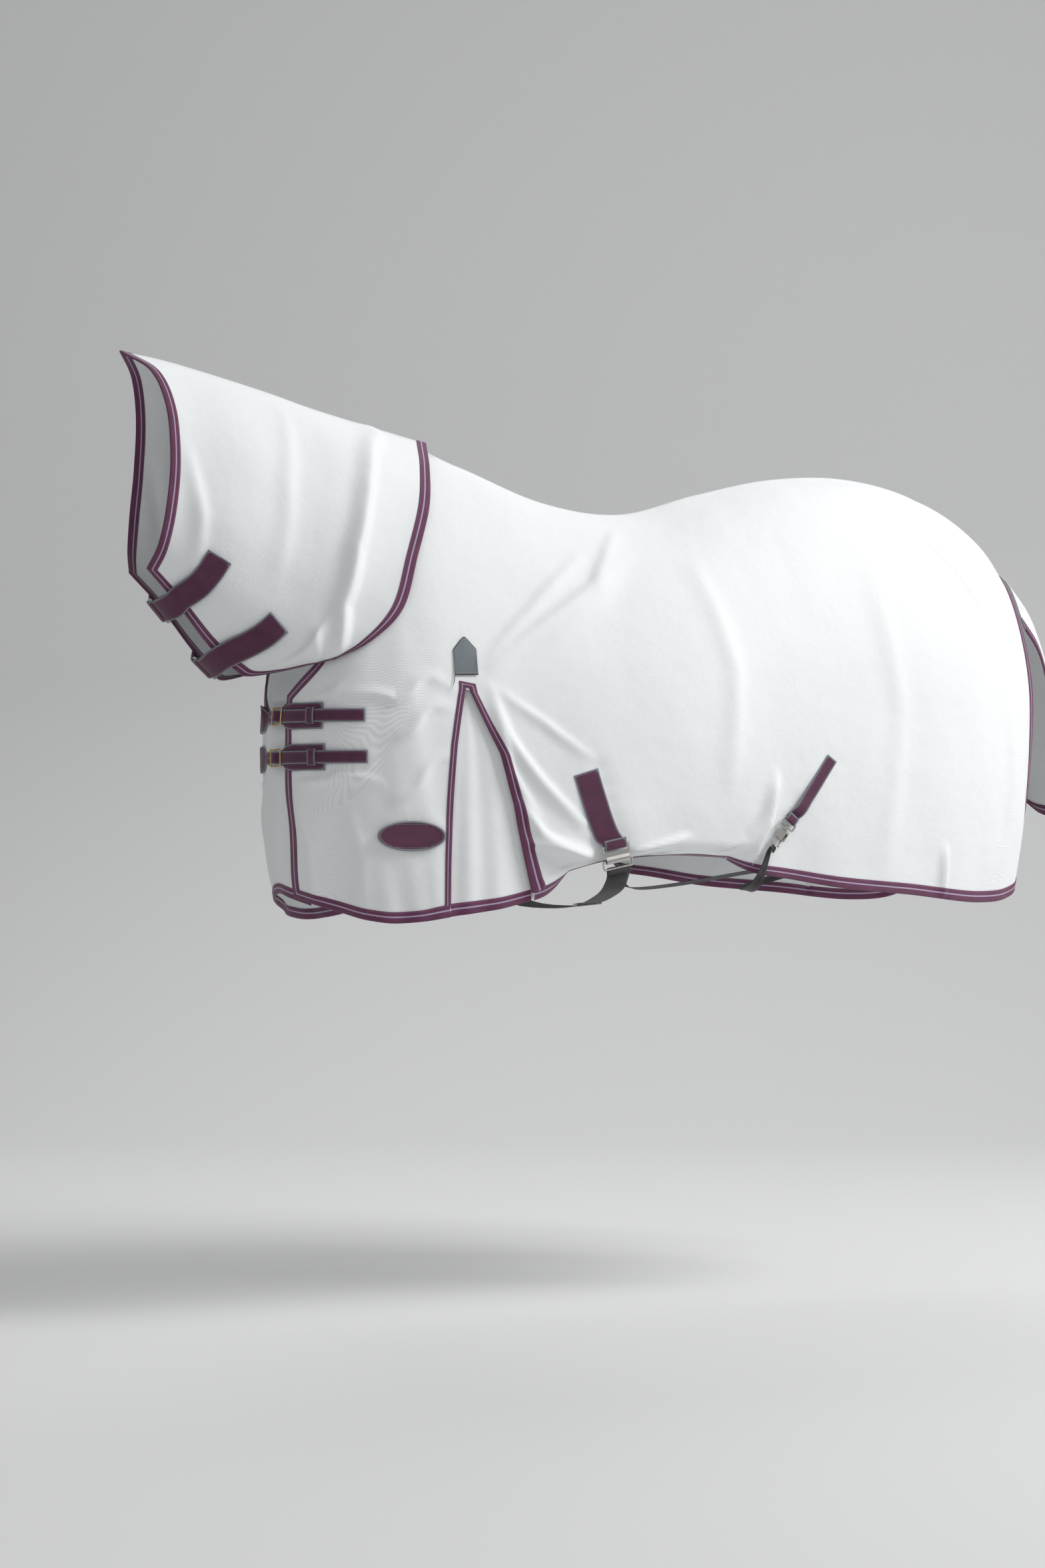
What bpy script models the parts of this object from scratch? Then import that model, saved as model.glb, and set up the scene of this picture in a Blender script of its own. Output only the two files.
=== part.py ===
"""Fly sheet for a horse: a fine mesh body cover with belly strap, leg straps, tail flap and a
detachable neck cover. Metres, +Z up, -X towards the horse's head, -Y its left side. The origin
is on the inside of the sheet, on the spine at the lowest point of the back."""

import math

import bmesh
import bpy
from mathutils import Vector
from mathutils.bvhtree import BVHTree

for old in list(bpy.data.objects):
    bpy.data.objects.remove(old, do_unlink=True)

# Overall sizes. The form stations further down are written for these pattern sizes.
BODY_LENGTH = 1.62
BODY_DROP = 0.90
BODY_HALF_WIDTH = 0.318
PATTERN_LENGTH = 1.62
PATTERN_DROP = 0.90
PATTERN_HALF_WIDTH = 0.318

# Cloth, edge tape and webbing.
CLOTH = 0.0015
TAPE = 0.0012
TAPE_WIDTH = 0.020
WEB = 0.002
WEB_NARROW = 0.025
WEB_WIDE = 0.050
FOLD_WEB = 0.0016

# Clearances.
TOUCH = 0.0003
SEAM_GAP = 0.0008
LAY_GAP = 0.0016
SPINE_GAP = 0.0008
GUSSET_INSET = 0.0070
GUSSET_LAP = 0.022
GUSSET_HEM_START = 0.018
TUCK = 0.010
NECK_LIFT_OFF = 0.011
NECK_CREST_LIFT = 0.016
PAD = 0.0015

# Shapes cut into the cloth, in form coordinates: station number and share of the drop.
LEFT_CLOSURE = 1.68
RIGHT_CLOSURE = 0.05
GUSSET_TOP = 0.62
ROWS = (0.09, 0.16, 0.24, 0.33, 0.42, 0.51, GUSSET_TOP - 0.025, GUSSET_TOP, 0.71, 0.80, 0.89)

# Fittings.
PATCH_WIDTH = 0.045
PATCH_HEIGHT = 0.073
BADGE_LENGTH = 0.128
BADGE_HEIGHT = 0.056
BADGE_LIFT = 0.0035
THROAT_SAG = 0.021
BUCKLE_LENGTH = 0.031
BUCKLE_WIRE = 0.0016
TONGUE_WIRE = 0.0011
LOOP_WIRE = 0.0016
HOOK_PLATE = 0.0025
EYE_WIRE = 0.0020
HOOK_PLAY = 0.0018
HOOK_RISE = 0.012
SNAP_BARREL = 0.0055
SNAP_BOLT = 0.0020
SNAP_NECK = 0.0024
SNAP_RISE = 0.012
RUNNING = 0.0004

COLOURS = {
    "cloth": (0.84, 0.88, 0.90, 0.75, 0),
    "tape": (0.20, 0.04, 0.13, 0.7, 0),
    "webbing": (0.11, 0.02, 0.06, 0.65, 0),
    "dark_webbing": (0.02, 0.012, 0.014, 0.8, 0),
    "patch": (0.27, 0.31, 0.33, 0.6, 0),
    "steel": (0.62, 0.62, 0.60, 0.28, 1),
    "brass": (0.62, 0.50, 0.26, 0.3, 1),
}


def material(kind):
    """One plain material for each kind of finish."""
    made = bpy.data.materials.get(kind)
    if made:
        return made
    red, green, blue, rough, metal = COLOURS[kind]
    made = bpy.data.materials.new(kind)
    made.use_nodes = True
    shader = made.node_tree.nodes["Principled BSDF"]
    shader.inputs["Base Color"].default_value = (red, green, blue, 1)
    shader.inputs["Roughness"].default_value = rough
    shader.inputs["Metallic"].default_value = metal
    return made


def turned(face):
    """The same face seen from its other side, cut along the same diagonal."""
    return (face[0],) + tuple(reversed(face[1:]))


def solid(name, points, faces, kind, side=1, pivot=None, hidden=False):
    """An object from points given for the right side; side -1 mirrors it to the left."""
    pivot = Vector(pivot) if pivot else Vector((0, 0, 0))
    placed = [Vector((p.x, p.y * side, p.z)) - pivot for p in points]
    mesh = bpy.data.meshes.new(name)
    mesh.from_pydata(placed, [], [face if side > 0 else turned(face) for face in faces])
    mesh.materials.append(material(kind))
    made = bpy.data.objects.new(name, mesh)
    made.location = pivot
    bpy.context.scene.collection.objects.link(made)
    if hidden:
        made.hide_render = True
        made.display_type = "WIRE"
    return made


def cut(target, operation, tool):
    change = target.modifiers.new(operation.lower(), "BOOLEAN")
    change.operation = operation
    change.object = tool


def through(points, t):
    """A smooth curve through the points, with t counted in points."""
    last = len(points) - 1
    k = min(max(int(math.floor(t)), 0), last - 1)
    f = t - k
    p1, p2 = points[k], points[k + 1]
    p0 = points[k - 1] if k > 0 else p1 * 2 - p2
    p3 = points[k + 2] if k + 2 <= last else p2 * 2 - p1
    a = (p1 * 3 - p0 - p2 * 3 + p3) * f
    b = p0 * 2 - p1 * 5 + p2 * 4 - p3
    return ((a + b) * f + (p2 - p0)) * f * 0.5 + p1


def blend_list(values, t):
    """Straight-line reading of a list of (t, value) pairs."""
    for (t0, a), (t1, b) in zip(values, values[1:]):
        if t <= t1:
            return a + (b - a) * max(t - t0, 0) / (t1 - t0)
    return values[-1][1]


# The horse's trunk as the sheet lies on it: each station runs from the neckline or the spine
# down to the hem, as (forward position, distance from the middle plane, height).
BODY_STATIONS = [
    [(-.667, -.100, -.355), (-.671, -.100, -.420), (-.671, -.100, -.490), (-.668, -.100, -.560),
     (-.663, -.100, -.630), (-.657, -.100, -.700), (-.651, -.100, -.770)],
    [(-.690, .000, -.405), (-.696, .000, -.462), (-.696, .000, -.520), (-.693, .000, -.578),
     (-.688, .000, -.636), (-.683, .000, -.694), (-.677, .000, -.748)],
    [(-.670, .100, -.352), (-.674, .104, -.422), (-.674, .106, -.490), (-.671, .106, -.560),
     (-.666, .105, -.630), (-.659, .103, -.700), (-.652, .101, -.762)],
    [(-.622, .158, -.270), (-.626, .172, -.360), (-.624, .180, -.445), (-.619, .182, -.530),
     (-.611, .181, -.615), (-.602, .179, -.700), (-.590, .176, -.788)],
    [(-.565, .168, -.120), (-.570, .198, -.235), (-.568, .216, -.350), (-.563, .224, -.460),
     (-.556, .226, -.570), (-.546, .224, -.685), (-.532, .220, -.800)],
    [(-.505, .112, .022), (-.513, .175, -.100), (-.515, .218, -.235), (-.510, .241, -.375),
     (-.503, .248, -.515), (-.492, .247, -.655), (-.478, .244, -.797)],
    [(-.440, .000, .118), (-.448, .098, .030), (-.452, .178, -.100), (-.452, .232, -.260),
     (-.447, .256, -.430), (-.438, .262, -.605), (-.424, .262, -.788)],
    [(-.300, .000, .081), (-.300, .100, .015), (-.303, .190, -.115), (-.306, .252, -.275),
     (-.308, .278, -.445), (-.306, .281, -.610), (-.298, .276, -.767)],
    [(-.120, .000, .019), (-.120, .120, -.035), (-.121, .215, -.150), (-.122, .280, -.300),
     (-.122, .306, -.455), (-.118, .304, -.590), (-.106, .288, -.712)],
    [(.050, .000, .003), (.050, .130, -.040), (.050, .230, -.145), (.050, .295, -.290),
     (.050, .318, -.440), (.052, .311, -.575), (.055, .288, -.702)],
    [(.220, .000, .049), (.220, .128, .003), (.220, .224, -.110), (.220, .285, -.265),
     (.220, .306, -.430), (.220, .303, -.575), (.220, .284, -.712)],
    [(.390, .000, .088), (.390, .126, .042), (.390, .216, -.078), (.390, .274, -.240),
     (.390, .296, -.410), (.390, .300, -.575), (.390, .288, -.737)],
    [(.560, .000, .098), (.560, .122, .050), (.560, .210, -.075), (.562, .268, -.240),
     (.563, .287, -.415), (.563, .290, -.585), (.560, .280, -.752)],
    [(.720, .000, .069), (.722, .105, .022), (.728, .185, -.095), (.733, .238, -.255),
     (.736, .257, -.430), (.735, .260, -.600), (.728, .250, -.768)],
    [(.840, .000, .002), (.848, .080, -.040), (.858, .140, -.145), (.863, .184, -.290),
     (.860, .208, -.445), (.848, .221, -.605), (.826, .220, -.757)],
    [(.915, .000, -.075), (.928, .060, -.120), (.938, .104, -.215), (.934, .143, -.335),
     (.914, .168, -.460), (.889, .182, -.590), (.856, .188, -.712)],
]

# The neck from the poll back to where it meets the skirt over the shoulders: each station runs
# from the crest to the throat.
NECK_STATIONS = [
    [(-.985, .000, .262), (-.944, .055, .222), (-.924, .088, .150), (-.922, .105, .055),
     (-.930, .108, -.030), (-.940, .092, -.100), (-.950, .052, -.145)],
    [(-.900, .000, .250), (-.876, .055, .205), (-.860, .092, .130), (-.855, .114, .030),
     (-.860, .120, -.060), (-.873, .100, -.150), (-.890, .048, -.208)],
    [(-.800, .000, .228), (-.780, .056, .180), (-.766, .098, .100), (-.765, .126, -.005),
     (-.776, .136, -.110), (-.800, .114, -.215), (-.828, .050, -.284)],
    [(-.690, .000, .201), (-.670, .060, .150), (-.656, .107, .060), (-.660, .145, -.050),
     (-.686, .158, -.165), (-.730, .136, -.270), (-.780, .060, -.328)],
    [(-.580, .000, .171), (-.565, .070, .115), (-.560, .128, .018), (-.575, .174, -.100),
     (-.610, .190, -.200), (-.668, .172, -.290), (-.748, .085, -.340)],
]
# The skirt's hem on the body, as (station, share of the drop).
NECK_HEM = [(6.54, 0), (6.40, 0.135), (6.22, 0.25), (5.85, 0.34), (5.10, 0.33), (4.05, 0.24),
            (3.10, 0.10)]

TAIL_STATIONS = [
    [(.922, .000, -.070), (.934, .058, -.112), (.945, .102, -.205)],
    [(.985, .000, -.150), (.982, .066, -.180), (.972, .118, -.262)],
    [(1.034, .000, -.262), (1.020, .074, -.290), (.992, .122, -.345)],
    [(1.058, .000, -.385), (1.044, .078, -.405), (1.010, .114, -.428)],
    [(1.068, .000, -.500), (1.058, .066, -.505), (1.034, .092, -.505)],
    [(1.066, .000, -.590), (1.062, .036, -.578), (1.052, .056, -.562)],
]


SPINE_STATION = 6


def fitted(point):
    x, w, z = point
    return Vector((x * BODY_LENGTH / PATTERN_LENGTH, w * BODY_HALF_WIDTH / PATTERN_HALF_WIDTH,
                   z * BODY_DROP / PATTERN_DROP))


def form(stations, u, v):
    """A point on a form: u in stations, v from 0 at the top edge to 1 at the bottom edge."""
    ring = [through(column, v * (len(column) - 1)) for column in stations]
    return through(ring, u)


def form_normal(stations, u, v):
    step = 0.01
    u0, u1 = max(u - step, 0), min(u + step, len(stations) - 1)
    v0, v1 = max(v - step, 0), min(v + step, 1)
    across = form(stations, u1, v) - form(stations, u0, v)
    down = form(stations, u, v1) - form(stations, u, v0)
    return across.cross(down).normalized()


BODY = [[fitted(point) for point in column] for column in BODY_STATIONS]


def body_point(u, v, rise=0.0):
    """A point on the body's form, or this far outside it; on the spine, straight above it."""
    point, normal = form(BODY, u, v), form_normal(BODY, u, v)
    if v == 0 and u >= SPINE_STATION:
        point.y = normal.y = 0
    return point + normal.normalized() * rise


def body_shift(u, v, distance):
    """The station number that lies this far along the cloth from u, positive to the rear."""
    speed = (form(BODY, u + 0.01, v) - form(BODY, u - 0.01, v)).length / 0.02
    return u + distance / speed


NECK = [[fitted(point) for point in column] for column in NECK_STATIONS]
NECK.append([body_point(u, v, NECK_LIFT_OFF if v else NECK_CREST_LIFT) for u, v in NECK_HEM])
TAIL = [[fitted(point) for point in column] for column in TAIL_STATIONS]

# The shoulder gusset's two edges, as (share of the drop, station).
GUSSET_FRONT = [(0, 6.38), (GUSSET_TOP, 6.36), (0.71, 6.26), (0.80, 6.16), (1, 5.95)]
GUSSET_REAR = [(0, 6.52), (GUSSET_TOP, 6.54), (0.71, 6.84), (0.80, 6.99), (1, 7.19)]


def grid_normals(grid):
    """Outward directions at the points of a grid, from their neighbours."""
    normals = []
    for i, column in enumerate(grid):
        before, after = grid[max(i - 1, 0)], grid[min(i + 1, len(grid) - 1)]
        line = []
        for j in range(len(column)):
            across = after[j] - before[j]
            down = column[min(j + 1, len(column) - 1)] - column[max(j - 1, 0)]
            normal = across.cross(down)
            if j == 0 and abs(column[j].y) <= SPINE_GAP:
                normal.y = 0
            line.append(normal.normalized())
        normals.append(line)
    return normals


def shell(grid, thickness, skipped=()):
    """Points and faces of a closed sheet: the grid is its outer side, less the skipped cells."""
    inner = [[point - normal * thickness for point, normal in zip(column, line)]
             for column, line in zip(grid, grid_normals(grid))]
    return closed_sheet(grid, inner, skipped)


def closed_sheet(outer_grid, inner_grid, skipped=()):
    """Points and faces of a closed sheet between two grids, less the skipped cells."""
    rows = len(outer_grid[0])
    outer = [point for column in outer_grid for point in column]
    inner = [point for column in inner_grid for point in column]
    count = len(outer)
    faces, edges = [], {}
    for i in range(len(outer_grid) - 1):
        for j in range(rows - 1):
            if (i, j) in skipped:
                continue
            ring = (i * rows + j, (i + 1) * rows + j, (i + 1) * rows + j + 1, i * rows + j + 1)
            faces.append(ring)
            faces.append(turned(tuple(k + count for k in ring)))
            for a, b in zip(ring, ring[1:] + ring[:1]):
                if (b, a) in edges:
                    del edges[(b, a)]
                else:
                    edges[(a, b)] = True
    faces += [(b, a, a + count, b + count) for a, b in edges]
    return drop_loose(outer + inner, faces)


def drop_loose(points, faces):
    used = sorted({k for face in faces for k in face})
    place = {k: n for n, k in enumerate(used)}
    return [points[k] for k in used], [tuple(place[k] for k in face) for face in faces]


def swept(sections, closed=False):
    """Points and faces of a tube through rings of points, with end caps unless it is closed."""
    size = len(sections[0])
    points = [point for section in sections for point in section]
    faces = []
    last = len(sections) if closed else len(sections) - 1
    for k in range(last):
        here, there = k * size, (k + 1) % len(sections) * size
        for m in range(size):
            n = (m + 1) % size
            faces.append((here + m, here + n, there + n, there + m))
    if not closed:
        faces.append(tuple(reversed(range(size))))
        faces.append(tuple((len(sections) - 1) * size + m for m in range(size)))
    return points, faces


def facing_out(points, faces):
    """The same faces, turned round if they enclose a negative volume."""
    volume = 0.0
    for face in faces:
        for a, b in zip(face[1:], face[2:]):
            volume += points[face[0]].dot(points[a].cross(points[b]))
    return faces if volume > 0 else [turned(face) for face in faces]


def between(grid, i, j):
    """The grid's value at whole or part column and row numbers."""
    a, b = min(int(i), len(grid) - 2), min(int(j), len(grid[0]) - 2)
    f, g = i - a, j - b
    near = grid[a][b].lerp(grid[a][b + 1], g)
    return near.lerp(grid[a + 1][b].lerp(grid[a + 1][b + 1], g), f)


def edge_stations(grid, walk):
    """Tape stations read from a grid; walk lists (edge place, inner place) in the grid."""
    normals = grid_normals(grid)
    return [(between(grid, *edge), between(grid, *inner), between(normals, *edge),
             between(normals, *inner), edge, inner) for edge, inner in walk]


def run_on(station, towards, distance):
    """A copy of a tape station moved along the edge, away from another station."""
    along = (station[0] - towards[0]).normalized() * distance
    return (station[0] + along, station[1] + along) + station[2:]


def tape(name, stations, side, pivot=None):
    """A U of edge tape folded over the edge cells of one or more grids."""
    top, low = SEAM_GAP, -CLOTH - SEAM_GAP
    profile = ((1, top), (1, top + TAPE), (2, top + TAPE), (2, low - TAPE),
               (1, low - TAPE), (1, low), (0, low), (0, top))
    points, faces = [], []
    for k, (outer, inner, outer_normal, inner_normal, edge, inside) in enumerate(stations):
        outward = (outer - inner).normalized()
        for place, height in profile:
            if place == 1:
                points.append(inner + inner_normal * height)
            else:
                reach = SEAM_GAP if place == 0 else SEAM_GAP + TAPE
                points.append(outer + outward * reach + outer_normal * height)
        if k == 0:
            continue
        last_edge = stations[k - 1][4]
        straight = (inside[0] - last_edge[0]) * (inside[1] - last_edge[1]) > 0
        for m in range(8):
            n = (m + 1) % 8
            ring = (8 * k - 8 + m, 8 * k - 8 + n, 8 * k + n, 8 * k + m)
            if (profile[m][0] == 1) == straight:
                ring = ring[1:] + ring[:1]
            faces += [(ring[0], ring[1], ring[2]), (ring[0], ring[2], ring[3])]
    faces.append(tuple(reversed(range(8))))
    faces.append(tuple(len(points) - 8 + m for m in range(8)))
    made = solid(name, points, facing_out(points, faces), "tape", side, pivot)
    work = bmesh.new()
    work.from_mesh(made.data)
    bmesh.ops.remove_doubles(work, verts=work.verts, dist=1e-6)
    work.to_mesh(made.data)
    work.free()
    return made


def tape_share(stations, u):
    """The share of the drop that the tape's width takes at station u."""
    steps = [form(stations, u, k / 12) for k in range(13)]
    return TAPE_WIDTH / sum((b - a).length for a, b in zip(steps, steps[1:]))


def body_grid(first, tuck):
    """The body's outer surface; the front of the right half is tucked under the left."""
    def slit_front(v):
        return blend_list(GUSSET_FRONT, v)

    def slit_rear(v):
        return blend_list(GUSSET_REAR, v)

    end = len(BODY) - 1
    columns = [("closure", lambda v: first), ("closure_tape", lambda v: body_shift(first, v, TAPE_WIDTH))]
    for u in (0.5, 1.0, 1.5, 2.0, 2.5, 3.0, 3.5, 4.0, 4.5, 5.0, 5.3, 5.65):
        if u > first + 0.4:
            columns.append((f"front{u}", lambda v, u=u: u))
    columns.append(("neckline_end", lambda v: 6.0))
    columns.append(("slit_front_tape", lambda v: body_shift(slit_front(v), v, -TAPE_WIDTH)))
    columns += [("slit_front", slit_front), ("slit_rear", slit_rear)]
    columns.append(("slit_rear_tape", lambda v: body_shift(slit_rear(v), v, TAPE_WIDTH)))
    columns.append(("shoulder", lambda v: max(7.1, slit_rear(v) + 0.3)))
    for u in (7.9, 8.6, 9.3, 10.0, 10.7, 11.4, 12.1, 12.8, 13.4, 14.0, 14.4):
        columns.append((f"rear{u}", lambda v, u=u: u))
    columns.append(("rear_tape", lambda v: body_shift(end, v, -TAPE_WIDTH)))
    columns.append(("rear_edge", lambda v: end))
    grid = []
    for name, station in columns:
        share = tape_share(BODY, station(0.5))
        column = []
        for v in (0, share) + ROWS + (1 - share, 1):
            u = station(v)
            if name == "neckline_end":
                u = blend_list([(0, 6.0), (0.4, 5.98), (1, 5.6)], v)
            sink = tuck * min(max((3.0 - u) / 0.8, 0), 1)
            point = body_point(u, v, -sink)
            if v == 0 and u >= 6:
                point.y = SPINE_GAP
            column.append(point)
        grid.append(column)
    return grid, [name for name, station in columns]


GRIDS = {-1: body_grid(LEFT_CLOSURE, 0), 1: body_grid(RIGHT_CLOSURE, TUCK)}
SIDES = (("left", -1), ("right", 1))
SLIT_ROW = 2 + ROWS.index(GUSSET_TOP)
HEM_ROW = len(ROWS) + 3


def gusset_grid():
    """The gusset behind the slit: wider than the slit, so that it is sewn in at both sides."""
    bottom = tape_share(BODY, GUSSET_FRONT[-1][1])
    rows = (GUSSET_TOP - 0.035, 0.68, 0.76, 0.84, 1 - bottom * 1.4, 1 - bottom, 1)
    grid = []
    for place in (-1, 0, 0.35, 0.65, 1, 2):
        column = []
        for v in rows:
            front, rear = blend_list(GUSSET_FRONT, v), blend_list(GUSSET_REAR, v)
            inside = body_shift(front, v, GUSSET_HEM_START) - front
            inside = min(inside, (rear - front) * 0.25)
            if place < 0:
                u = body_shift(front, v, -GUSSET_LAP)
            elif place > 1:
                u = body_shift(rear, v, GUSSET_LAP)
            else:
                u = front + inside + (rear - front - 2 * inside) * place
            column.append(body_point(u, v, -GUSSET_INSET))
        grid.append(column)
    return grid


GUSSET = gusset_grid()
GUSSET_HEM_ROW = len(GUSSET[0]) - 1


def make_body(word, side):
    """One half of the body with the gusset's slit, the gusset, and the tapes on its edges."""
    grid, columns = GRIDS[side]
    slit, last = columns.index("slit_front"), len(columns) - 1
    skipped = {(slit, j) for j in range(SLIT_ROW, HEM_ROW)}
    solid(f"body_{word}", *shell(grid, CLOTH, skipped), "cloth", side)
    low = GUSSET_HEM_ROW
    cut_corners = {(0, low - 1), (0, low - 2), (4, low - 1), (4, low - 2)}
    solid(f"gusset_{word}", *shell(GUSSET, CLOTH, cut_corners), "cloth", side)

    spine = columns.index("neckline_end")
    walk = [((spine - 0.1, 0), (spine - 0.1, 1))]
    walk += [((i, 0), (i, 1)) for i in range(spine - 1, 0, -1)] + [((0, 0), (1, 1))]
    walk += [((0, j), (1, j)) for j in range(1, HEM_ROW + 1)]
    tape(f"front_binding_{word}", edge_stations(grid, walk), side)
    walk = [((last, j), (last - 1, j)) for j in range(1, HEM_ROW + 1)]
    tape(f"rear_binding_{word}", edge_stations(grid, walk), side)

    end = HEM_ROW - 1.06
    walk = [((slit, end), (slit - 1, end))]
    walk += [((slit, j), (slit - 1, j)) for j in range(HEM_ROW - 2, SLIT_ROW, -1)]
    walk += [((slit, SLIT_ROW), (slit - 1, SLIT_ROW - 1))]
    walk += [((slit + 1, SLIT_ROW), (slit + 2, SLIT_ROW - 1))]
    walk += [((slit + 1, j), (slit + 2, j)) for j in range(SLIT_ROW + 1, HEM_ROW - 1)]
    walk += [((slit + 1, end), (slit + 2, end))]
    tape(f"gusset_binding_{word}", edge_stations(grid, walk), side)

    front_walk = [1.1] + list(range(2, slit + 1))
    rear_walk = list(range(slit + 1, last - 1)) + [last - 1.1]
    front = edge_stations(grid, [((i, HEM_ROW), (i, HEM_ROW - 1)) for i in front_walk])
    rear = edge_stations(grid, [((i, HEM_ROW), (i, HEM_ROW - 1)) for i in rear_walk])
    inset = edge_stations(GUSSET, [((i, low), (i, low - 1)) for i in range(1, 5)])
    front.append(run_on(front[-1], front[-2], TAPE))
    rear.insert(0, run_on(rear[0], rear[1], TAPE))
    inset.insert(0, run_on(inset[0], inset[1], TAPE))
    inset.append(run_on(inset[-1], inset[-2], TAPE))
    tape(f"hem_binding_{word}", front + inset + rear, side)


for word, side in SIDES:
    make_body(word, side)


# The neck cover turns at the withers, where touch tape holds it to the spine.
NECK_TURN = body_point(NECK_HEM[0][0], 0, NECK_LIFT_OFF / 2)


def neck_grid():
    end = len(NECK) - 1

    def shift(u, v, distance):
        speed = (form(NECK, u + 0.01, v) - form(NECK, u - 0.01, v)).length / 0.02
        return u + distance / speed

    columns = [lambda v: 0, lambda v: shift(0, v, TAPE_WIDTH)]
    columns += [lambda v, u=u: u for u in (0.5, 1.0, 1.6, 2.2, 2.8, 3.4, 4.0, 4.4)]
    columns += [lambda v: shift(end, v, -TAPE_WIDTH), lambda v: end]
    grid = []
    for station in columns:
        share = tape_share(NECK, station(0.5))
        column = []
        for v in (0, share, 0.13, 0.25, 0.38, 0.5, 0.62, 0.74, 0.86, 1 - share, 1):
            point = form(NECK, station(v), v)
            if v == 0:
                point.y = SPINE_GAP
            column.append(point)
        grid.append(column)
    return grid


NECK_GRID = neck_grid()


def make_neck(word, side):
    """One half of the neck cover, with the tape round its front and throat, and on its hem."""
    last, low = len(NECK_GRID) - 1, len(NECK_GRID[0]) - 1
    solid(f"neck_{word}", *shell(NECK_GRID, CLOTH), "cloth", side, NECK_TURN)
    walk = [((0, j), (1, j)) for j in range(1, low)] + [((0, low), (1, low - 1))]
    walk += [((i, low), (i, low - 1)) for i in range(1, last - 1)]
    walk += [((last - 1.1, low), (last - 1.1, low - 1))]
    tape(f"neck_front_binding_{word}", edge_stations(NECK_GRID, walk), side, NECK_TURN)
    walk = [((last, j), (last - 1, j)) for j in range(1, low + 1)]
    tape(f"neck_hem_binding_{word}", edge_stations(NECK_GRID, walk), side, NECK_TURN)


for word, side in SIDES:
    make_neck(word, side)


def make_tail_flap():
    """The flap over the tail, one piece with a rounded tip, hinged along its top edge."""
    end = len(TAIL) - 1
    grid = []
    for u in (0, 0.7, 1.4, 2.1, 2.8, 3.5, 4.2, 4.78, 5.0):
        share = tape_share(TAIL, u)
        column = []
        for v in (-1, share - 1, -0.5, -0.25, 0, 0.25, 0.5, 1 - share, 1):
            point = form(TAIL, u, abs(v))
            column.append(Vector((point.x, math.copysign(point.y, v), point.z)))
        grid.append(column)
    last, low = len(grid) - 1, len(grid[0]) - 1
    pivot = form(TAIL, 0, 0)
    solid("tail_flap", *shell(grid, CLOTH), "cloth", 1, pivot)
    walk = [((i, 0), (i, 1)) for i in range(last)] + [((last, 0), (last - 1, 1))]
    walk += [((last, j), (last - 1, j)) for j in range(1, low)]
    walk += [((last, low), (last - 1, low - 1))]
    walk += [((i, low), (i, low - 1)) for i in range(last - 1, -1, -1)]
    tape("tail_flap_binding", edge_stations(grid, walk), 1, pivot)


make_tail_flap()


# Webbing is described by stations (one edge, other edge, outward direction, thickness), with
# the edges on its underside.
def webbing(name, stations, kind, side, slots=(), slot_width=0.005, pivot=None):
    """A strap through the stations; slots lists the spans that have a hole in the middle."""
    under, over = [], []
    for first, second, normal, thickness in stations:
        line = [first, second]
        if slots:
            half = (second - first).normalized() * slot_width / 2
            middle = (first + second) / 2
            line = [first, middle - half, middle + half, second]
        under.append(line)
        over.append([point + normal * thickness for point in line])
    points, faces = closed_sheet(over, under, {(k, 1) for k in slots})
    return solid(name, points, facing_out(points, faces), kind, side, pivot)


def tree_of(*grids):
    """The outer facets of the grids, to lay straps on."""
    points, faces = [], []
    for grid in grids:
        rows, start = len(grid[0]), len(points)
        points += [point for column in grid for point in column]
        for i in range(len(grid) - 1):
            for j in range(rows - 1):
                a = start + i * rows + j
                faces += [(a, a + rows, a + rows + 1), (a, a + rows + 1, a + 1)]
    return BVHTree.FromPolygons(points, faces)


def flipped(grid):
    return [[Vector((point.x, -point.y, point.z)) for point in column] for column in grid]


CHEST_TREE = tree_of(GRIDS[-1][0], flipped(GRIDS[1][0]))
BODY_TREES = {-1: tree_of(GRIDS[-1][0]), 1: tree_of(GRIDS[1][0])}
NECK_TREE = tree_of(NECK_GRID)


def on_cloth(tree, point, normal, height):
    """The place this far above the cloth, found by going in along the outward direction."""
    hit = tree.ray_cast(point + normal * 0.06, -normal, 0.12)[0] or point
    return hit + normal * height


def laid(tree, centres, widths, heights, thickness=WEB):
    """Stations of a strap on the cloth; centres lists (point, outward direction)."""
    stations = []
    for k, (point, normal) in enumerate(centres):
        ahead = centres[min(k + 1, len(centres) - 1)][0] - centres[max(k - 1, 0)][0]
        across = ahead.cross(normal).normalized() * widths[k] / 2
        first = on_cloth(tree, point - across, normal, heights[k])
        second = on_cloth(tree, point + across, normal, heights[k])
        stations.append((first, second, normal, thickness))
    return stations


def swapped(stations):
    """The same stations with their two edges exchanged."""
    return [(second, first, normal, thickness) for first, second, normal, thickness in stations]


def turned_over(stations):
    """The same stations with the upper side listed as the underside."""
    return [(first + normal * thickness, second + normal * thickness, -normal, thickness)
            for first, second, normal, thickness in stations]


def axes_at(origin, along, normal):
    """A local frame: origin, along, across and outward."""
    along = along.normalized()
    normal = (normal - along * normal.dot(along)).normalized()
    return origin, along, normal.cross(along), normal


def local(frame, t, k, n):
    origin, along, across, normal = frame
    return origin + along * t + across * k + normal * n


def flat_station(frame, t, n, width, thickness=WEB):
    return (local(frame, t, width / 2, n), local(frame, t, -width / 2, n), frame[3], thickness)


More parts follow.
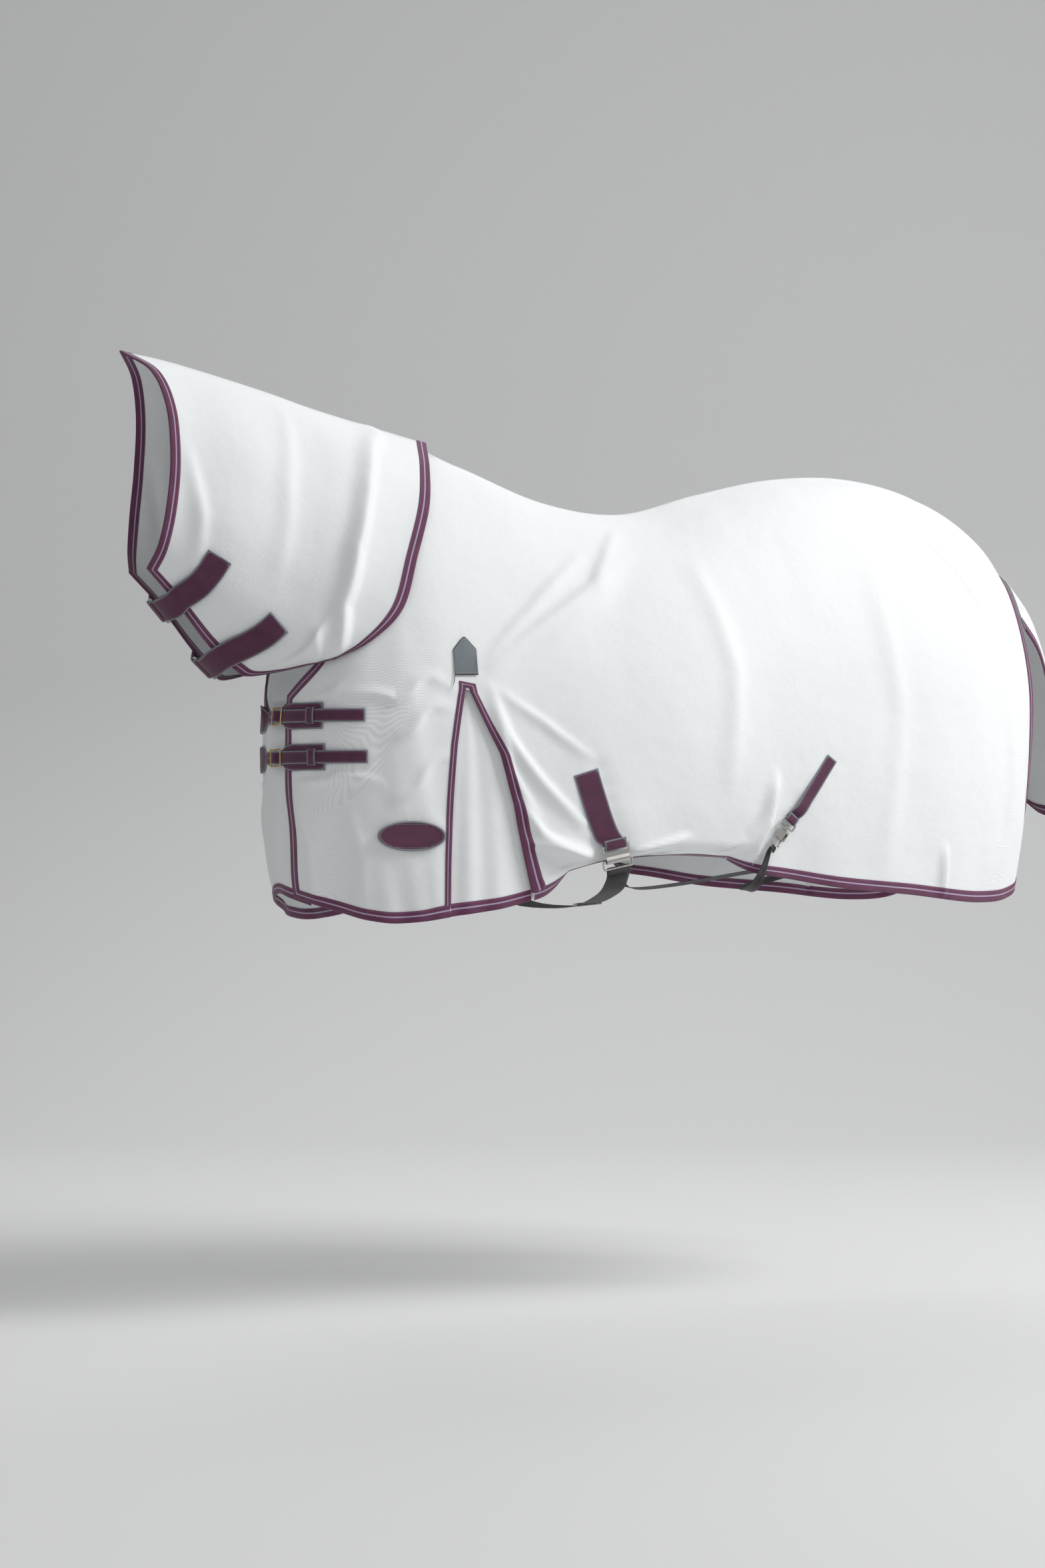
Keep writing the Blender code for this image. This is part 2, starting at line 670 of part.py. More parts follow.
def fold(frame, t, n, inner, thickness, width, start, end, steps=8):
    """Stations of webbing folded round a bar at (t, n), between two angles in degrees."""
    stations = []
    for k in range(steps + 1):
        angle = math.radians(start + (end - start) * k / steps)
        out = frame[1] * math.cos(angle) + frame[3] * math.sin(angle)
        rim = local(frame, t, 0, n) + out * (inner + thickness)
        half = frame[2] * width / 2
        stations.append((rim + half, rim - half, -out, thickness))
    return stations


def rod(path, radius, sides=6, closed=False, facing=None):
    """Points and faces of a wire through the path, mitred at its corners."""
    sections = []
    count = len(path)
    for k, point in enumerate(path):
        before = path[k - 1] if k or closed else None
        after = path[(k + 1) % count] if k < count - 1 or closed else None
        came = (point - before).normalized() if before is not None else None
        goes = (after - point).normalized() if after is not None else came
        came = came or goes
        ahead = (came + goes).normalized()
        across = facing.cross(ahead).normalized()
        stretch = 1 / max(ahead.dot(goes), 0.3)
        sections.append([point + across * math.cos(math.tau * m / sides) * radius * stretch
                         + facing * math.sin(math.tau * m / sides) * radius
                         for m in range(sides)])
    points, faces = swept(sections, closed)
    return points, facing_out(points, faces)


def wire_loop(frame, t0, t1, half_width, radius, n=0.0):
    """A flat four-cornered loop of wire with small corners, as points and faces."""
    corner = radius
    path = []
    for t, k, dt, dk in ((t0, half_width, 1, -1), (t1, half_width, -1, -1),
                         (t1, -half_width, -1, 1), (t0, -half_width, 1, 1)):
        ends = [(t, k + dk * corner), (t + dt * corner, k)]
        if dt * dk > 0:
            ends.reverse()
        path += [local(frame, a, b, n) for a, b in ends]
    return rod(path, radius, closed=True, facing=frame[3])


def turned_pin(frame, t, k, n, axis, length, radius, sides=10):
    """A round pin from a point along one of the frame's axes, as points and faces."""
    start = local(frame, t, k, n)
    first = frame[1 + (axis + 1) % 3]
    second = frame[1 + (axis + 2) % 3]
    ring = [first * math.cos(math.tau * m / sides) + second * math.sin(math.tau * m / sides)
            for m in range(sides)]
    sections = [[start + frame[1 + axis] * far + spoke * radius for spoke in ring]
                for far in (0, length)]
    points, faces = swept(sections)
    return points, facing_out(points, faces)


def block(frame, t_span, k_span, n_span):
    """A box in a local frame, as points and faces."""
    sections = [[local(frame, t, k, n) for k, n in
                 ((k_span[0], n_span[0]), (k_span[1], n_span[0]),
                  (k_span[1], n_span[1]), (k_span[0], n_span[1]))] for t in t_span]
    points, faces = swept(sections)
    return points, facing_out(points, faces)


def fused(name, kind, side, first, adds=(), cuts=(), pivot=None):
    """One object from a first shape, with others joined on and others cut out."""
    made = solid(name, *first, kind, side, pivot)
    for k, shape in enumerate(adds):
        cut(made, "UNION", solid(f"{name}_add{k}", *shape, kind, side, pivot, hidden=True))
    for k, shape in enumerate(cuts):
        cut(made, "DIFFERENCE", solid(f"{name}_cut{k}", *shape, kind, side, pivot, hidden=True))
    return made


def make_gusset_patch(word, side):
    """The five-sided reinforcement over the top of the slit, its point upwards."""
    bottom = GUSSET_TOP - 0.028
    middle = (GUSSET_FRONT[0][1] + GUSSET_REAR[0][1]) / 2
    base = body_point(middle, bottom - 0.012)
    normal = form_normal(BODY, middle, bottom - 0.012)
    up = form(BODY, middle, bottom - 0.05) - form(BODY, middle, bottom)
    frame = axes_at(base, up, normal)
    half = PATCH_WIDTH / 2
    rows = ((0, half), (PATCH_HEIGHT * 0.34, half), (PATCH_HEIGHT * 0.68, half),
            (PATCH_HEIGHT, half * 0.12))
    stations = []
    for t, reach in rows:
        first = on_cloth(BODY_TREES[side], local(frame, t, reach, 0), normal, LAY_GAP + 0.0012)
        second = on_cloth(BODY_TREES[side], local(frame, t, -reach, 0), normal, LAY_GAP + 0.0012)
        stations.append((first, second, normal, TAPE))
    webbing(f"gusset_patch_{word}", stations, "patch", side)


def make_badge():
    """A flat oval patch on the left shoulder, above the hem."""
    station, share = 4.87, 0.808
    centre, normal = body_point(station, share, BADGE_LIFT), form_normal(BODY, station, share)
    ahead = form(BODY, station + 0.1, share) - form(BODY, station - 0.1, share)
    ahead.z = 0
    frame = axes_at(centre, ahead, normal)
    ring = []
    for k in range(24):
        angle = math.tau * k / 24
        ring.append((BADGE_LENGTH / 2 * math.cos(angle), BADGE_HEIGHT / 2 * math.sin(angle)))
    sections = [[local(frame, t, k, n) for t, k in ring] for n in (0, WEB)]
    points, faces = swept(sections)
    solid("badge", points, facing_out(points, faces), "webbing", -1)
    return local(frame, 0, 0, WEB), frame[3]


for word, side in SIDES:
    make_gusset_patch(word, side)
BADGE_FACE = make_badge()


# Heights above the cloth where a strap crosses edge tape, and where one strap lies on another.
OVER_TAPE = SEAM_GAP + TAPE + LAY_GAP
ON_STRAP = OVER_TAPE + WEB + RUNNING
ON_FLAP = ON_STRAP + RUNNING
BUCKLE_STATION = 1.5
CHEST_HEIGHTS = [(word, fitted((0, 0, z)).z) for word, z in (("upper", -0.415), ("lower", -0.492))]
BUCKLE_RISE = 0.009
BUCKLE_HALF = BUCKLE_LENGTH / 2
PRONG_CURL = BUCKLE_WIRE + RUNNING + TONGUE_WIRE
OVER_BAR = PRONG_CURL + TONGUE_WIRE + RUNNING
UNDER_BAR = BUCKLE_WIRE + RUNNING + WEB


def share_at_height(u, height):
    """The share of the drop where a body station reaches this height."""
    low, high = 0.0, 1.0
    for _ in range(24):
        middle = (low + high) / 2
        if form(BODY, u, middle).z > height:
            low = middle
        else:
            high = middle
    return low


def chest_place(c, height):
    """A point and outward direction on the chest; c under 1 is past the middle, on the far side."""
    u = c if c >= 1 else 2 - c
    v = share_at_height(u, height)
    point, normal = form(BODY, u, v), form_normal(BODY, u, v)
    if c < 1:
        point.y, normal.y = -point.y, -normal.y
    return point, normal


def make_chest_fastening(word, height):
    """Wide ends on both halves, a strap through a buckle on the left, and its keeper."""
    origin, normal = chest_place(BUCKLE_STATION, height)
    ahead = chest_place(BUCKLE_STATION + 0.1, height)[0] - origin
    frame = axes_at(origin, ahead, normal)
    bar = axes_at(local(frame, 0, 0, BUCKLE_RISE), ahead, normal)

    wide = (-0.7, -0.45, -0.2, 0.0, 0.2, 0.4, 0.6)
    near = (1.74, 1.9, 2.1, 2.3, 2.5, 2.7, 2.9)
    tail = (3.1, 3.3, 3.5, 3.75)
    places = [chest_place(c, height) for c in wide + (0.75,)]
    stations = laid(CHEST_TREE, places, [WEB_WIDE] * len(wide) + [WEB_NARROW],
                    [OVER_TAPE] * len(wide) + [LAY_GAP * 1.6])
    rise = BUCKLE_RISE - UNDER_BAR
    for t, n in ((-0.042, -0.002), (-0.030, 0.003), (-BUCKLE_HALF - 0.002, rise),
                 (-BUCKLE_HALF + 0.0022, rise), (-0.0045, BUCKLE_RISE + OVER_BAR),
                 (-0.0017, BUCKLE_RISE + OVER_BAR), (0.0045, BUCKLE_RISE + OVER_BAR),
                 (BUCKLE_HALF - 0.0022, rise), (BUCKLE_HALF + 0.002, rise)):
        stations.append(flat_station(frame, t, n, WEB_NARROW))
    hole = len(wide) + 4
    places = [chest_place(c, height) for c in near + tail]
    heights = [ON_STRAP] * len(near) + [0.0045, 0.0035, 0.003, 0.003]
    stations += laid(CHEST_TREE, places, [WEB_NARROW] * len(places), heights)
    webbing(f"chest_{word}_strap", stations, "webbing", -1, slots=(hole, hole + 1))

    stations = swapped(laid(CHEST_TREE, [chest_place(c, height) for c in reversed(near[:-1])],
                            [WEB_WIDE] * 5 + [0.044], [OVER_TAPE] * 6))
    fold_rim = BUCKLE_WIRE + TOUCH
    stations.append(flat_station(frame, BUCKLE_HALF - 0.001, 0.0026, 0.030, WEB))
    stations.append(flat_station(frame, 0.006, BUCKLE_RISE - fold_rim - 0.0016, 0.024, 0.0012))
    stations += fold(bar, 0, 0, fold_rim, 0.0012, 0.024, -90, -270)
    end = local(bar, 0.003, 0, fold_rim + 0.0012)
    half = bar[2] * 0.012
    stations.append((end + half, end - half, -bar[3], 0.0012))
    slots = tuple(range(7, len(stations) - 2))
    webbing(f"chest_{word}_base", stations, "webbing", -1, slots, slot_width=0.0052)

    wires = wire_loop(bar, -BUCKLE_HALF, BUCKLE_HALF, WEB_NARROW / 2 + 0.0035, BUCKLE_WIRE)
    middle = turned_pin(bar, 0, -WEB_NARROW / 2 - 0.0035, 0, 1, WEB_NARROW + 0.007,
                        BUCKLE_WIRE * 0.9)
    fused(f"chest_{word}_buckle", "brass", -1, wires, adds=[middle])

    path = []
    for k in range(7):
        angle = math.radians(-40 - 23 * k)
        path.append(local(bar, PRONG_CURL * math.cos(angle), 0, PRONG_CURL * math.sin(angle)))
    rest = BUCKLE_WIRE + TONGUE_WIRE + RUNNING
    path.append(local(bar, -BUCKLE_HALF - 0.002, 0, rest))
    points, faces = rod(path, TONGUE_WIRE, facing=bar[2])
    solid(f"chest_{word}_tongue", points, faces, "brass", -1, (bar[0].x, -bar[0].y, bar[0].z))

    origin, normal = chest_place(2.42, height)
    ahead = chest_place(2.52, height)[0] - chest_place(2.32, height)[0]
    seat = on_cloth(CHEST_TREE, origin, normal, ON_STRAP + 2 * RUNNING)
    frame = axes_at(seat, ahead, normal)
    inside, top = WEB_NARROW / 2 + 0.0016, WEB + 2 * RUNNING
    outside, crown = inside + FOLD_WEB, top + FOLD_WEB
    arch = ((-outside, 0), (-outside, crown), (outside, crown), (outside, 0),
            (inside, 0), (inside, top), (-inside, top), (-inside, 0))
    sections = [[local(frame, t, k, n) for k, n in arch] for t in (-0.009, 0.009)]
    points, faces = swept(sections)
    solid(f"chest_{word}_keeper", points, facing_out(points, faces), "webbing", -1)


for word, height in CHEST_HEIGHTS:
    make_chest_fastening(word, height)


def throat_edge(station, height, flip=1):
    """A strap station over the edge of the neck cover's throat."""
    ends = []
    for way in (1, -1):
        speed = (form(NECK, station + 0.05, 1) - form(NECK, station - 0.05, 1)).length / 0.1
        point = form(NECK, station + way * WEB_WIDE / 2 / speed, 1)
        point += form_normal(NECK, station, 1) * height
        ends.append(Vector((point.x, point.y * flip, point.z)))
    normal = form_normal(NECK, station, 1)
    normal.y *= flip
    return ends[0], ends[1], normal, WEB


def make_throat_fastening(word, station, run):
    """A touch-tape strap on the left half, folded back through a loop held by the right."""
    edge = form(NECK, station, 1)
    ahead = form(NECK, station + 0.2, 1) - form(NECK, station - 0.2, 1)
    down = Vector((ahead.z, 0, -ahead.x)).normalized()
    origin = Vector((edge.x, 0, edge.z)) + down * THROAT_SAG
    frame = axes_at(origin, Vector((0, 1, 0)), down)
    bar = 0.006
    half = WEB_WIDE / 2 + 0.002
    pivot = NECK_TURN
    points, faces = wire_loop(frame, -bar, bar, half + LOOP_WIRE, LOOP_WIRE)
    solid(f"throat_{word}_loop", points, faces, "steel", -1, pivot)

    rim = LOOP_WIRE + TOUCH
    narrow = WEB_WIDE - 0.002
    stations = [flat_station(frame, -0.013, -rim - FOLD_WEB, narrow, FOLD_WEB)]
    stations += fold(frame, -bar, 0, rim, FOLD_WEB, narrow, -90, 90)
    stations += turned_over([flat_station(frame, -0.018, rim, narrow, FOLD_WEB)])
    stations += turned_over([throat_edge(station, OVER_TAPE, -1)])
    for v in (0.93, 0.86):
        point, normal = form(NECK, station, v), form_normal(NECK, station, v)
        across = (form(NECK, station + 0.1, v) - point).normalized() * WEB_WIDE / 2
        pair = [on_cloth(NECK_TREE, point + across * way, normal, OVER_TAPE) for way in (1, -1)]
        for end in pair + [normal]:
            end.y = -end.y
        stations += turned_over([(pair[0], pair[1], normal, WEB)])
    webbing(f"throat_{word}_tab", stations, "webbing", -1, pivot=pivot)

    centres = []
    for share in (0, 0.25, 0.5, 0.72, 0.88):
        u, v = run[0] + (station - run[0]) * share, run[1] + (0.985 - run[1]) * share
        centres.append((form(NECK, u, v), form_normal(NECK, u, v)))
    widths = [WEB_WIDE] * len(centres)
    base = swapped(laid(NECK_TREE, centres, widths, [OVER_TAPE] * len(centres)))
    base.append(throat_edge(station, OVER_TAPE))
    base.append(flat_station(frame, 0.019, -WEB / 2, WEB_WIDE))
    webbing(f"throat_{word}_strap", base, "webbing", -1, pivot=pivot)

    lid = swapped(laid(NECK_TREE, centres, widths, [ON_FLAP] * len(centres)))
    lid.append(throat_edge(station, ON_FLAP))
    lid.append(flat_station(frame, 0.019, WEB / 2 + 2 * RUNNING, narrow, FOLD_WEB))
    lid = turned_over(lid) + fold(frame, bar, 0, rim, FOLD_WEB, narrow, 90, 270)
    lid.append(flat_station(frame, 0.012, -rim - FOLD_WEB, narrow, FOLD_WEB))
    turn = local(frame, bar, 0, 0)
    webbing(f"throat_{word}_flap", lid, "webbing", -1, pivot=(turn.x, -turn.y, turn.z))


make_throat_fastening("upper", 0.95, (1.42, 0.74))
make_throat_fastening("lower", 2.45, (2.92, 0.79))


def ribbon(points, first_across, widths, thickness=WEB, steps=4):
    """Stations of a strap along a smooth curve, with its width carried along without twist."""
    path, sizes = [], []
    for k in range((len(points) - 1) * steps + 1):
        t = k / steps
        path.append(through([Vector(p) for p in points], t))
        a = min(int(t), len(widths) - 2)
        sizes.append(widths[a] + (widths[a + 1] - widths[a]) * (t - a))
    stations, across = [], first_across.normalized()
    for k, point in enumerate(path):
        ahead = path[min(k + 1, len(path) - 1)] - path[max(k - 1, 0)]
        ahead.normalize()
        across = (across - ahead * across.dot(ahead)).normalized()
        half = across * sizes[k] / 2
        stations.append((point + half, point - half, ahead.cross(across), thickness))
    return stations


# The belly strap's way under the horse, from the left side to the right.
BELLY_PATH = [(-.098, .272, -.738), (-.096, .215, -.757), (-.094, .155, -.768), (-.093, .06, -.775),
              (-.093, -.10, -.773), (-.095, -.21, -.757), (-.098, -.262, -.735)]


def make_surcingle():
    """The belly strap from the right hem to a hook on the left side's wide strap."""
    station, share = 8.03, 0.958
    base, normal = body_point(station, share, HOOK_RISE), form_normal(BODY, station, share)
    down = body_point(station, share + 0.03) - body_point(station - 0.06, share - 0.1)
    frame = axes_at(base, down, normal)
    slot, rim = -0.026, EYE_WIRE + TOUCH
    centres = []
    for u, v in ((7.74, 0.740), (7.79, 0.78), (7.84, 0.82), (7.89, 0.86), (7.94, 0.895)):
        centres.append((form(BODY, u, v), form_normal(BODY, u, v)))
    upper = laid(BODY_TREES[-1], centres, [WEB_WIDE] * 5, [LAY_GAP, LAY_GAP, 0.0025, 0.0035, 0.0045])
    lip = HOOK_PLATE / 2 + TOUCH
    upper.append(flat_station(frame, slot + 0.001, -lip - FOLD_WEB, 0.046, FOLD_WEB))
    upper += fold(frame, slot + 0.003, 0, lip, FOLD_WEB, 0.046, -90, 90)
    upper.append(turned_over([flat_station(frame, slot - 0.014, lip, 0.046, FOLD_WEB)])[0])
    webbing("surcingle_upper_strap", upper, "webbing", -1)

    under, over = [], []
    curl = EYE_WIRE + HOOK_PLAY + HOOK_PLATE / 2
    profile = [(-0.029, 0.0), (-0.0255, 0.0), (-0.0165, 0.0), (-0.008, 0.0015)]
    for k in range(7):
        angle = math.radians(120 - 40 * k)
        profile.append((curl * math.cos(angle), curl * math.sin(angle)))
    half = HOOK_PLATE / 2
    for k, (t, n) in enumerate(profile):
        a, b = profile[max(k - 1, 0)], profile[min(k + 1, len(profile) - 1)]
        length = math.hypot(b[0] - a[0], b[1] - a[1])
        dt, dn = (b[0] - a[0]) / length, (b[1] - a[1]) / length
        line = [0.0285, 0.0245, -0.0245, -0.0285] if k < 3 else [0.0235, 0.02, -0.02, -0.0235]
        over.append([local(frame, t - dn * half, w, n + dt * half) for w in line])
        under.append([local(frame, t + dn * half, w, n - dt * half) for w in line])
    points, faces = closed_sheet(over, under, {(1, 1)})
    turn = local(frame, slot + 0.003, 0, 0)
    solid("surcingle_hook", points, facing_out(points, faces), "steel", -1, (turn.x, -turn.y, turn.z))

    points, faces = wire_loop(frame, 0, 0.016, 0.030, EYE_WIRE)
    solid("surcingle_eye", points, faces, "steel", -1)
    belly = [flat_station(frame, 0.027, rim + FOLD_WEB, 0.048, FOLD_WEB)]
    belly = [(a, b, -n, t) for a, b, n, t in belly]
    belly += fold(frame, 0.016, 0, rim, FOLD_WEB, 0.048, 90, 270)
    low = local(frame, 0.028, 0, -rim - FOLD_WEB)
    far = body_point(station, 0.93, -0.0085)
    points = [low] + [fitted(point) for point in BELLY_PATH] + [Vector((far.x, -far.y, far.z))]
    strap = ribbon(points, frame[2], [0.048] + [WEB_WIDE] * (len(points) - 1), FOLD_WEB, 3)
    webbing("surcingle_belly_strap", belly + strap, "dark_webbing", -1)
    here, ahead = strap[9], strap[10]
    middle = (here[0] + here[1]) / 2
    band = axes_at(middle, (ahead[0] + ahead[1]) / 2 - middle, here[2])
    return frame, band


def make_slider(band):
    """The adjuster that the belly strap runs through."""
    room = 0.0009
    wall = 0.0016
    half, deep = WEB_WIDE / 2 + room, FOLD_WEB
    body = block(band, (-0.007, 0.007), (-half - wall, half + wall), (-room - wall, deep + room + wall))
    way = block(band, (-0.02, 0.02), (-half, half), (-room, deep + room))
    fused("surcingle_slider", "steel", -1, body, cuts=[way])


SURCINGLE_FRAME, SLIDER_FRAME = make_surcingle()
make_slider(SLIDER_FRAME)


# The leg strap's way from the snap, round inside the thigh, to the rear of the sheet.
THIGH_PATH = [(.214, .2990, -.699), (.205, .2950, -.722), (.203, .272, -.738), (.215, .225, -.743),
              (.27, .15, -.733), (.38, .10, -.712), (.52, .085, -.69), (.66, .11, -.66),
              (.76, .17, -.625)]


def make_leg_strap(word, side):
    """A strap from the flank to a snap, and the loop that runs inside to the rear of the sheet."""
    origin, normal = body_point(10.16, 0.905, SNAP_RISE), form_normal(BODY, 10.16, 0.905)
    top = body_point(10.85, 0.742)
    frame = axes_at(origin, origin - top, normal)
    eye_bar, eye_wire, rim = -0.036, 0.0018, 0.0018 + TOUCH
    centres = []
    for share in (0, 0.15, 0.3, 0.48, 0.66):
        u, v = 10.85 + (10.16 - 10.85) * share, 0.742 + (0.905 - 0.742) * share
        centres.append((form(BODY, u, v), form_normal(BODY, u, v)))
    upper = laid(BODY_TREES[side], centres, [WEB_NARROW] * 5, [LAY_GAP, LAY_GAP, 0.003, 0.006, 0.009])
    upper.append(flat_station(frame, eye_bar - 0.008, -rim - FOLD_WEB, WEB_NARROW, FOLD_WEB))
    upper += fold(frame, eye_bar, 0, rim, FOLD_WEB, WEB_NARROW, -90, 90)
    upper += turned_over([flat_station(frame, eye_bar - 0.014, rim, WEB_NARROW, FOLD_WEB)])
    webbing(f"leg_strap_upper_{word}", upper, "webbing", side)

    loop = wire_loop(frame, eye_bar, -0.022, WEB_NARROW / 2 + 0.003, eye_wire)
    collar = turned_pin(frame, -0.0225, 0, 0, 0, 0.0085, 0.0052)
    hole = turned_pin(frame, -0.031, 0, 0, 0, 0.02, SNAP_NECK + RUNNING)
    fused(f"leg_swivel_{word}", "steel", side, loop, adds=[collar], cuts=[hole])

    k = -0.0065
    pivot = (origin.x, origin.y * side, origin.z)
    barrel = block(frame, (-0.0112, 0.008), (-0.010, 0.010), (-SNAP_BARREL, SNAP_BARREL))
    neck = turned_pin(frame, -0.0262, 0, 0, 0, 0.018, SNAP_NECK)
    head = turned_pin(frame, -0.0275, 0, 0, 0, 0.0022, SNAP_NECK + 0.0016)
    bow = [(0.006, 0.0072), (0.012, 0.0085), (0.018, 0.0095), (0.0235, 0.0085), (0.0275, 0.005),
           (0.029, 0), (0.0275, -0.005), (0.0235, -0.0085), (0.0200, k - 0.001), (0.0186, k)]
    hook = rod([local(frame, a, b, 0) for a, b in bow], 0.0021, 8, facing=frame[3])
    bore = turned_pin(frame, -0.0098, k, 0, 0, 0.02, SNAP_BOLT + RUNNING)
    slot = block(frame, (-0.0085, 0.0048), (k - 0.0017, k + 0.0017), (0.001, 0.01))
    fused(f"leg_snap_{word}", "steel", side, barrel, [neck, head, hook], [bore, slot], pivot)
    bolt = turned_pin(frame, -0.001, k, 0, 0, 0.0175, SNAP_BOLT, 8)
    stud = turned_pin(frame, 0.0028, k, 0, 2, 0.0085, 0.0013, 8)
    fused(f"leg_snap_bolt_{word}", "steel", side, bolt, [stud], pivot=pivot)

    ring, thin = 0.0044, 0.0014
    lower = [flat_station(frame, 0.039, ring, 0.009, thin)]
    lower = turned_over(lower) + fold(frame, 0.029, 0, ring, thin, 0.009, 90, 270)
    start = local(frame, 0.038, 0, -ring - thin)
    far = body_point(13.6, 0.72, -0.0135)
    points = [start] + [fitted(point) for point in THIGH_PATH] + [far]
    lower += ribbon(points, frame[2], [0.010, 0.014, 0.02] + [WEB_NARROW] * 8, thin, 3)
    webbing(f"leg_strap_lower_{word}", lower, "webbing", side)
    return frame


LEG_FRAMES = {side: make_leg_strap(word, side) for word, side in SIDES}


def make_withers_pad(name, stations, rise, side_share=0.05):
    """One of the two hook-and-loop pads that hold the neck cover to the spine at the withers."""
    over, under = [], []
    for u in stations:
        low, high = [], []
        for v in (-side_share, -side_share / 2, 0, side_share / 2, side_share):
            for height, row in ((rise, low), (rise + PAD, high)):
                point = body_point(u, abs(v), height)
                row.append(Vector((point.x, math.copysign(point.y, v) if v else 0, point.z)))
        under.append(low)
        over.append(high)
    points, faces = closed_sheet(over, under)
    return name, points, facing_out(points, faces)


def make_withers_fastening():
    """The lower pad is sewn to the body and the upper one to the neck cover."""
    solid(*make_withers_pad("withers_pad_body", (6.32, 6.39, 6.46, 6.53), LAY_GAP), "webbing", -1)
    solid(*make_withers_pad("withers_pad_neck", (6.32, 6.39, 6.46, 6.53), LAY_GAP + PAD + TOUCH),
          "webbing", -1, NECK_TURN)


make_withers_fastening()
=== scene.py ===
import math

import bmesh
import bpy
import numpy as np
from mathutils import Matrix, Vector
from mathutils.kdtree import KDTree


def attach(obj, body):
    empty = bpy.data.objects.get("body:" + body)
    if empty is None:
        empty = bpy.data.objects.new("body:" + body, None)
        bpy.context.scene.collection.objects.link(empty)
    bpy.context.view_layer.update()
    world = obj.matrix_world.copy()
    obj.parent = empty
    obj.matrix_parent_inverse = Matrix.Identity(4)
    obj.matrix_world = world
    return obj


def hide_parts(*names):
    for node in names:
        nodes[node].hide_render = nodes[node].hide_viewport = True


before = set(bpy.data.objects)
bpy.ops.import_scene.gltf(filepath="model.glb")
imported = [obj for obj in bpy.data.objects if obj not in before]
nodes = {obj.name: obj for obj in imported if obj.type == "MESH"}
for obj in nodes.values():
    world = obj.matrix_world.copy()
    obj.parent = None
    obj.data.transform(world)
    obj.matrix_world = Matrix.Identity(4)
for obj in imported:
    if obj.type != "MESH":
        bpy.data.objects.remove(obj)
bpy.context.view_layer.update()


# --- Studio -------------------------------------------------------------------------------
# The sheet hangs as it does on a standing horse, over a pale floor at the height of the
# hooves, in soft light from large lamps. The camera looks at the horse's left side.

FLOOR_HEIGHT = -1.555
FLOOR_FRONT, FLOOR_BACK, HALF_FLOOR = -14, 3.5, 22
WALL_BEND, WALL_TOP = 3, 14
VIEW_TURN = math.radians(-25)
LAMP_AIM = Vector((0, 0, -0.3))
LAMPS = (("key", (3.4, -3.0, 3.3), 2.4, 300), ("fill", (-3.6, -4.2, 1.2), 3.5, 26),
         ("back", (0.8, 3.6, 3.0), 3.0, 70))

camera_data = bpy.data.cameras.new("camera")
camera_data.lens = 76
camera_data.sensor_width = 36
camera_data.shift_y = 0.0455
camera_data.clip_end = 60
camera = bpy.data.objects.new("camera", camera_data)
camera.location = (-2.907, -5.891, -0.675)
camera.rotation_euler = (math.radians(90), 0, VIEW_TURN)
bpy.context.scene.collection.objects.link(camera)
bpy.context.scene.camera = camera

# The floor runs up into the wall behind in one wide curve, so that no line shows.
sweep = [(FLOOR_FRONT, 0), (FLOOR_BACK, 0)]
sweep += [(FLOOR_BACK + WALL_BEND * math.sin(a), WALL_BEND - WALL_BEND * math.cos(a))
          for a in np.linspace(0.1, math.pi / 2, 12)]
sweep.append((FLOOR_BACK + WALL_BEND, WALL_TOP))
sweep_points, sweep_faces = [], []
for k, (back, up) in enumerate(sweep):
    sweep_points += [(x, back, FLOOR_HEIGHT + up) for x in (-HALF_FLOOR, HALF_FLOOR)]
    if k:
        sweep_faces.append((2 * k - 2, 2 * k - 1, 2 * k + 1, 2 * k))
floor_mesh = bpy.data.meshes.new("floor")
floor_mesh.from_pydata(sweep_points, [], sweep_faces)
floor_mesh.polygons.foreach_set("use_smooth", [True] * len(sweep_faces))
floor = bpy.data.objects.new("floor", floor_mesh)
floor.rotation_euler = (0, 0, VIEW_TURN)
bpy.context.scene.collection.objects.link(floor)
floor_paint = bpy.data.materials.new("floor paint")
floor_paint.use_nodes = True
floor_finish = floor_paint.node_tree.nodes["Principled BSDF"].inputs
floor_finish["Base Color"].default_value = (0.72, 0.72, 0.72, 1)
floor_finish["Roughness"].default_value = 0.7
floor_mesh.materials.append(floor_paint)

for name, place, size, power in LAMPS:
    lamp_data = bpy.data.lights.new(name, "AREA")
    lamp_data.size = size
    lamp_data.energy = power
    lamp = bpy.data.objects.new(name, lamp_data)
    lamp.location = place
    lamp.rotation_euler = (LAMP_AIM - Vector(place)).to_track_quat("-Z", "Y").to_euler()
    bpy.context.scene.collection.objects.link(lamp)
room = bpy.data.worlds.new("room")
room.use_nodes = True
room_light = room.node_tree.nodes["Background"].inputs
room_light["Color"].default_value = (0.97, 0.985, 1.0, 1)
room_light["Strength"].default_value = 0.36
bpy.context.scene.world = room
bpy.context.scene.view_settings.view_transform = "Standard"


# --- Mesh cloth ---------------------------------------------------------------------------
# Soft polyester mesh, knitted in fine rows of small holes and dyed white. It hangs in one
# layer, so its surface shows long folds, and close up the rows of thread and hole.

MESH_PITCH = 0.0026
STITCH_LENGTH = 0.0032


def part_of(tree, kind, **settings):
    """A node, with its settings and its plain input values."""
    node = tree.nodes.new(kind)
    for name, value in settings.items():
        if hasattr(node, name):
            setattr(node, name, value)
        else:
            node.inputs[int(name[1:])].default_value = value
    return node


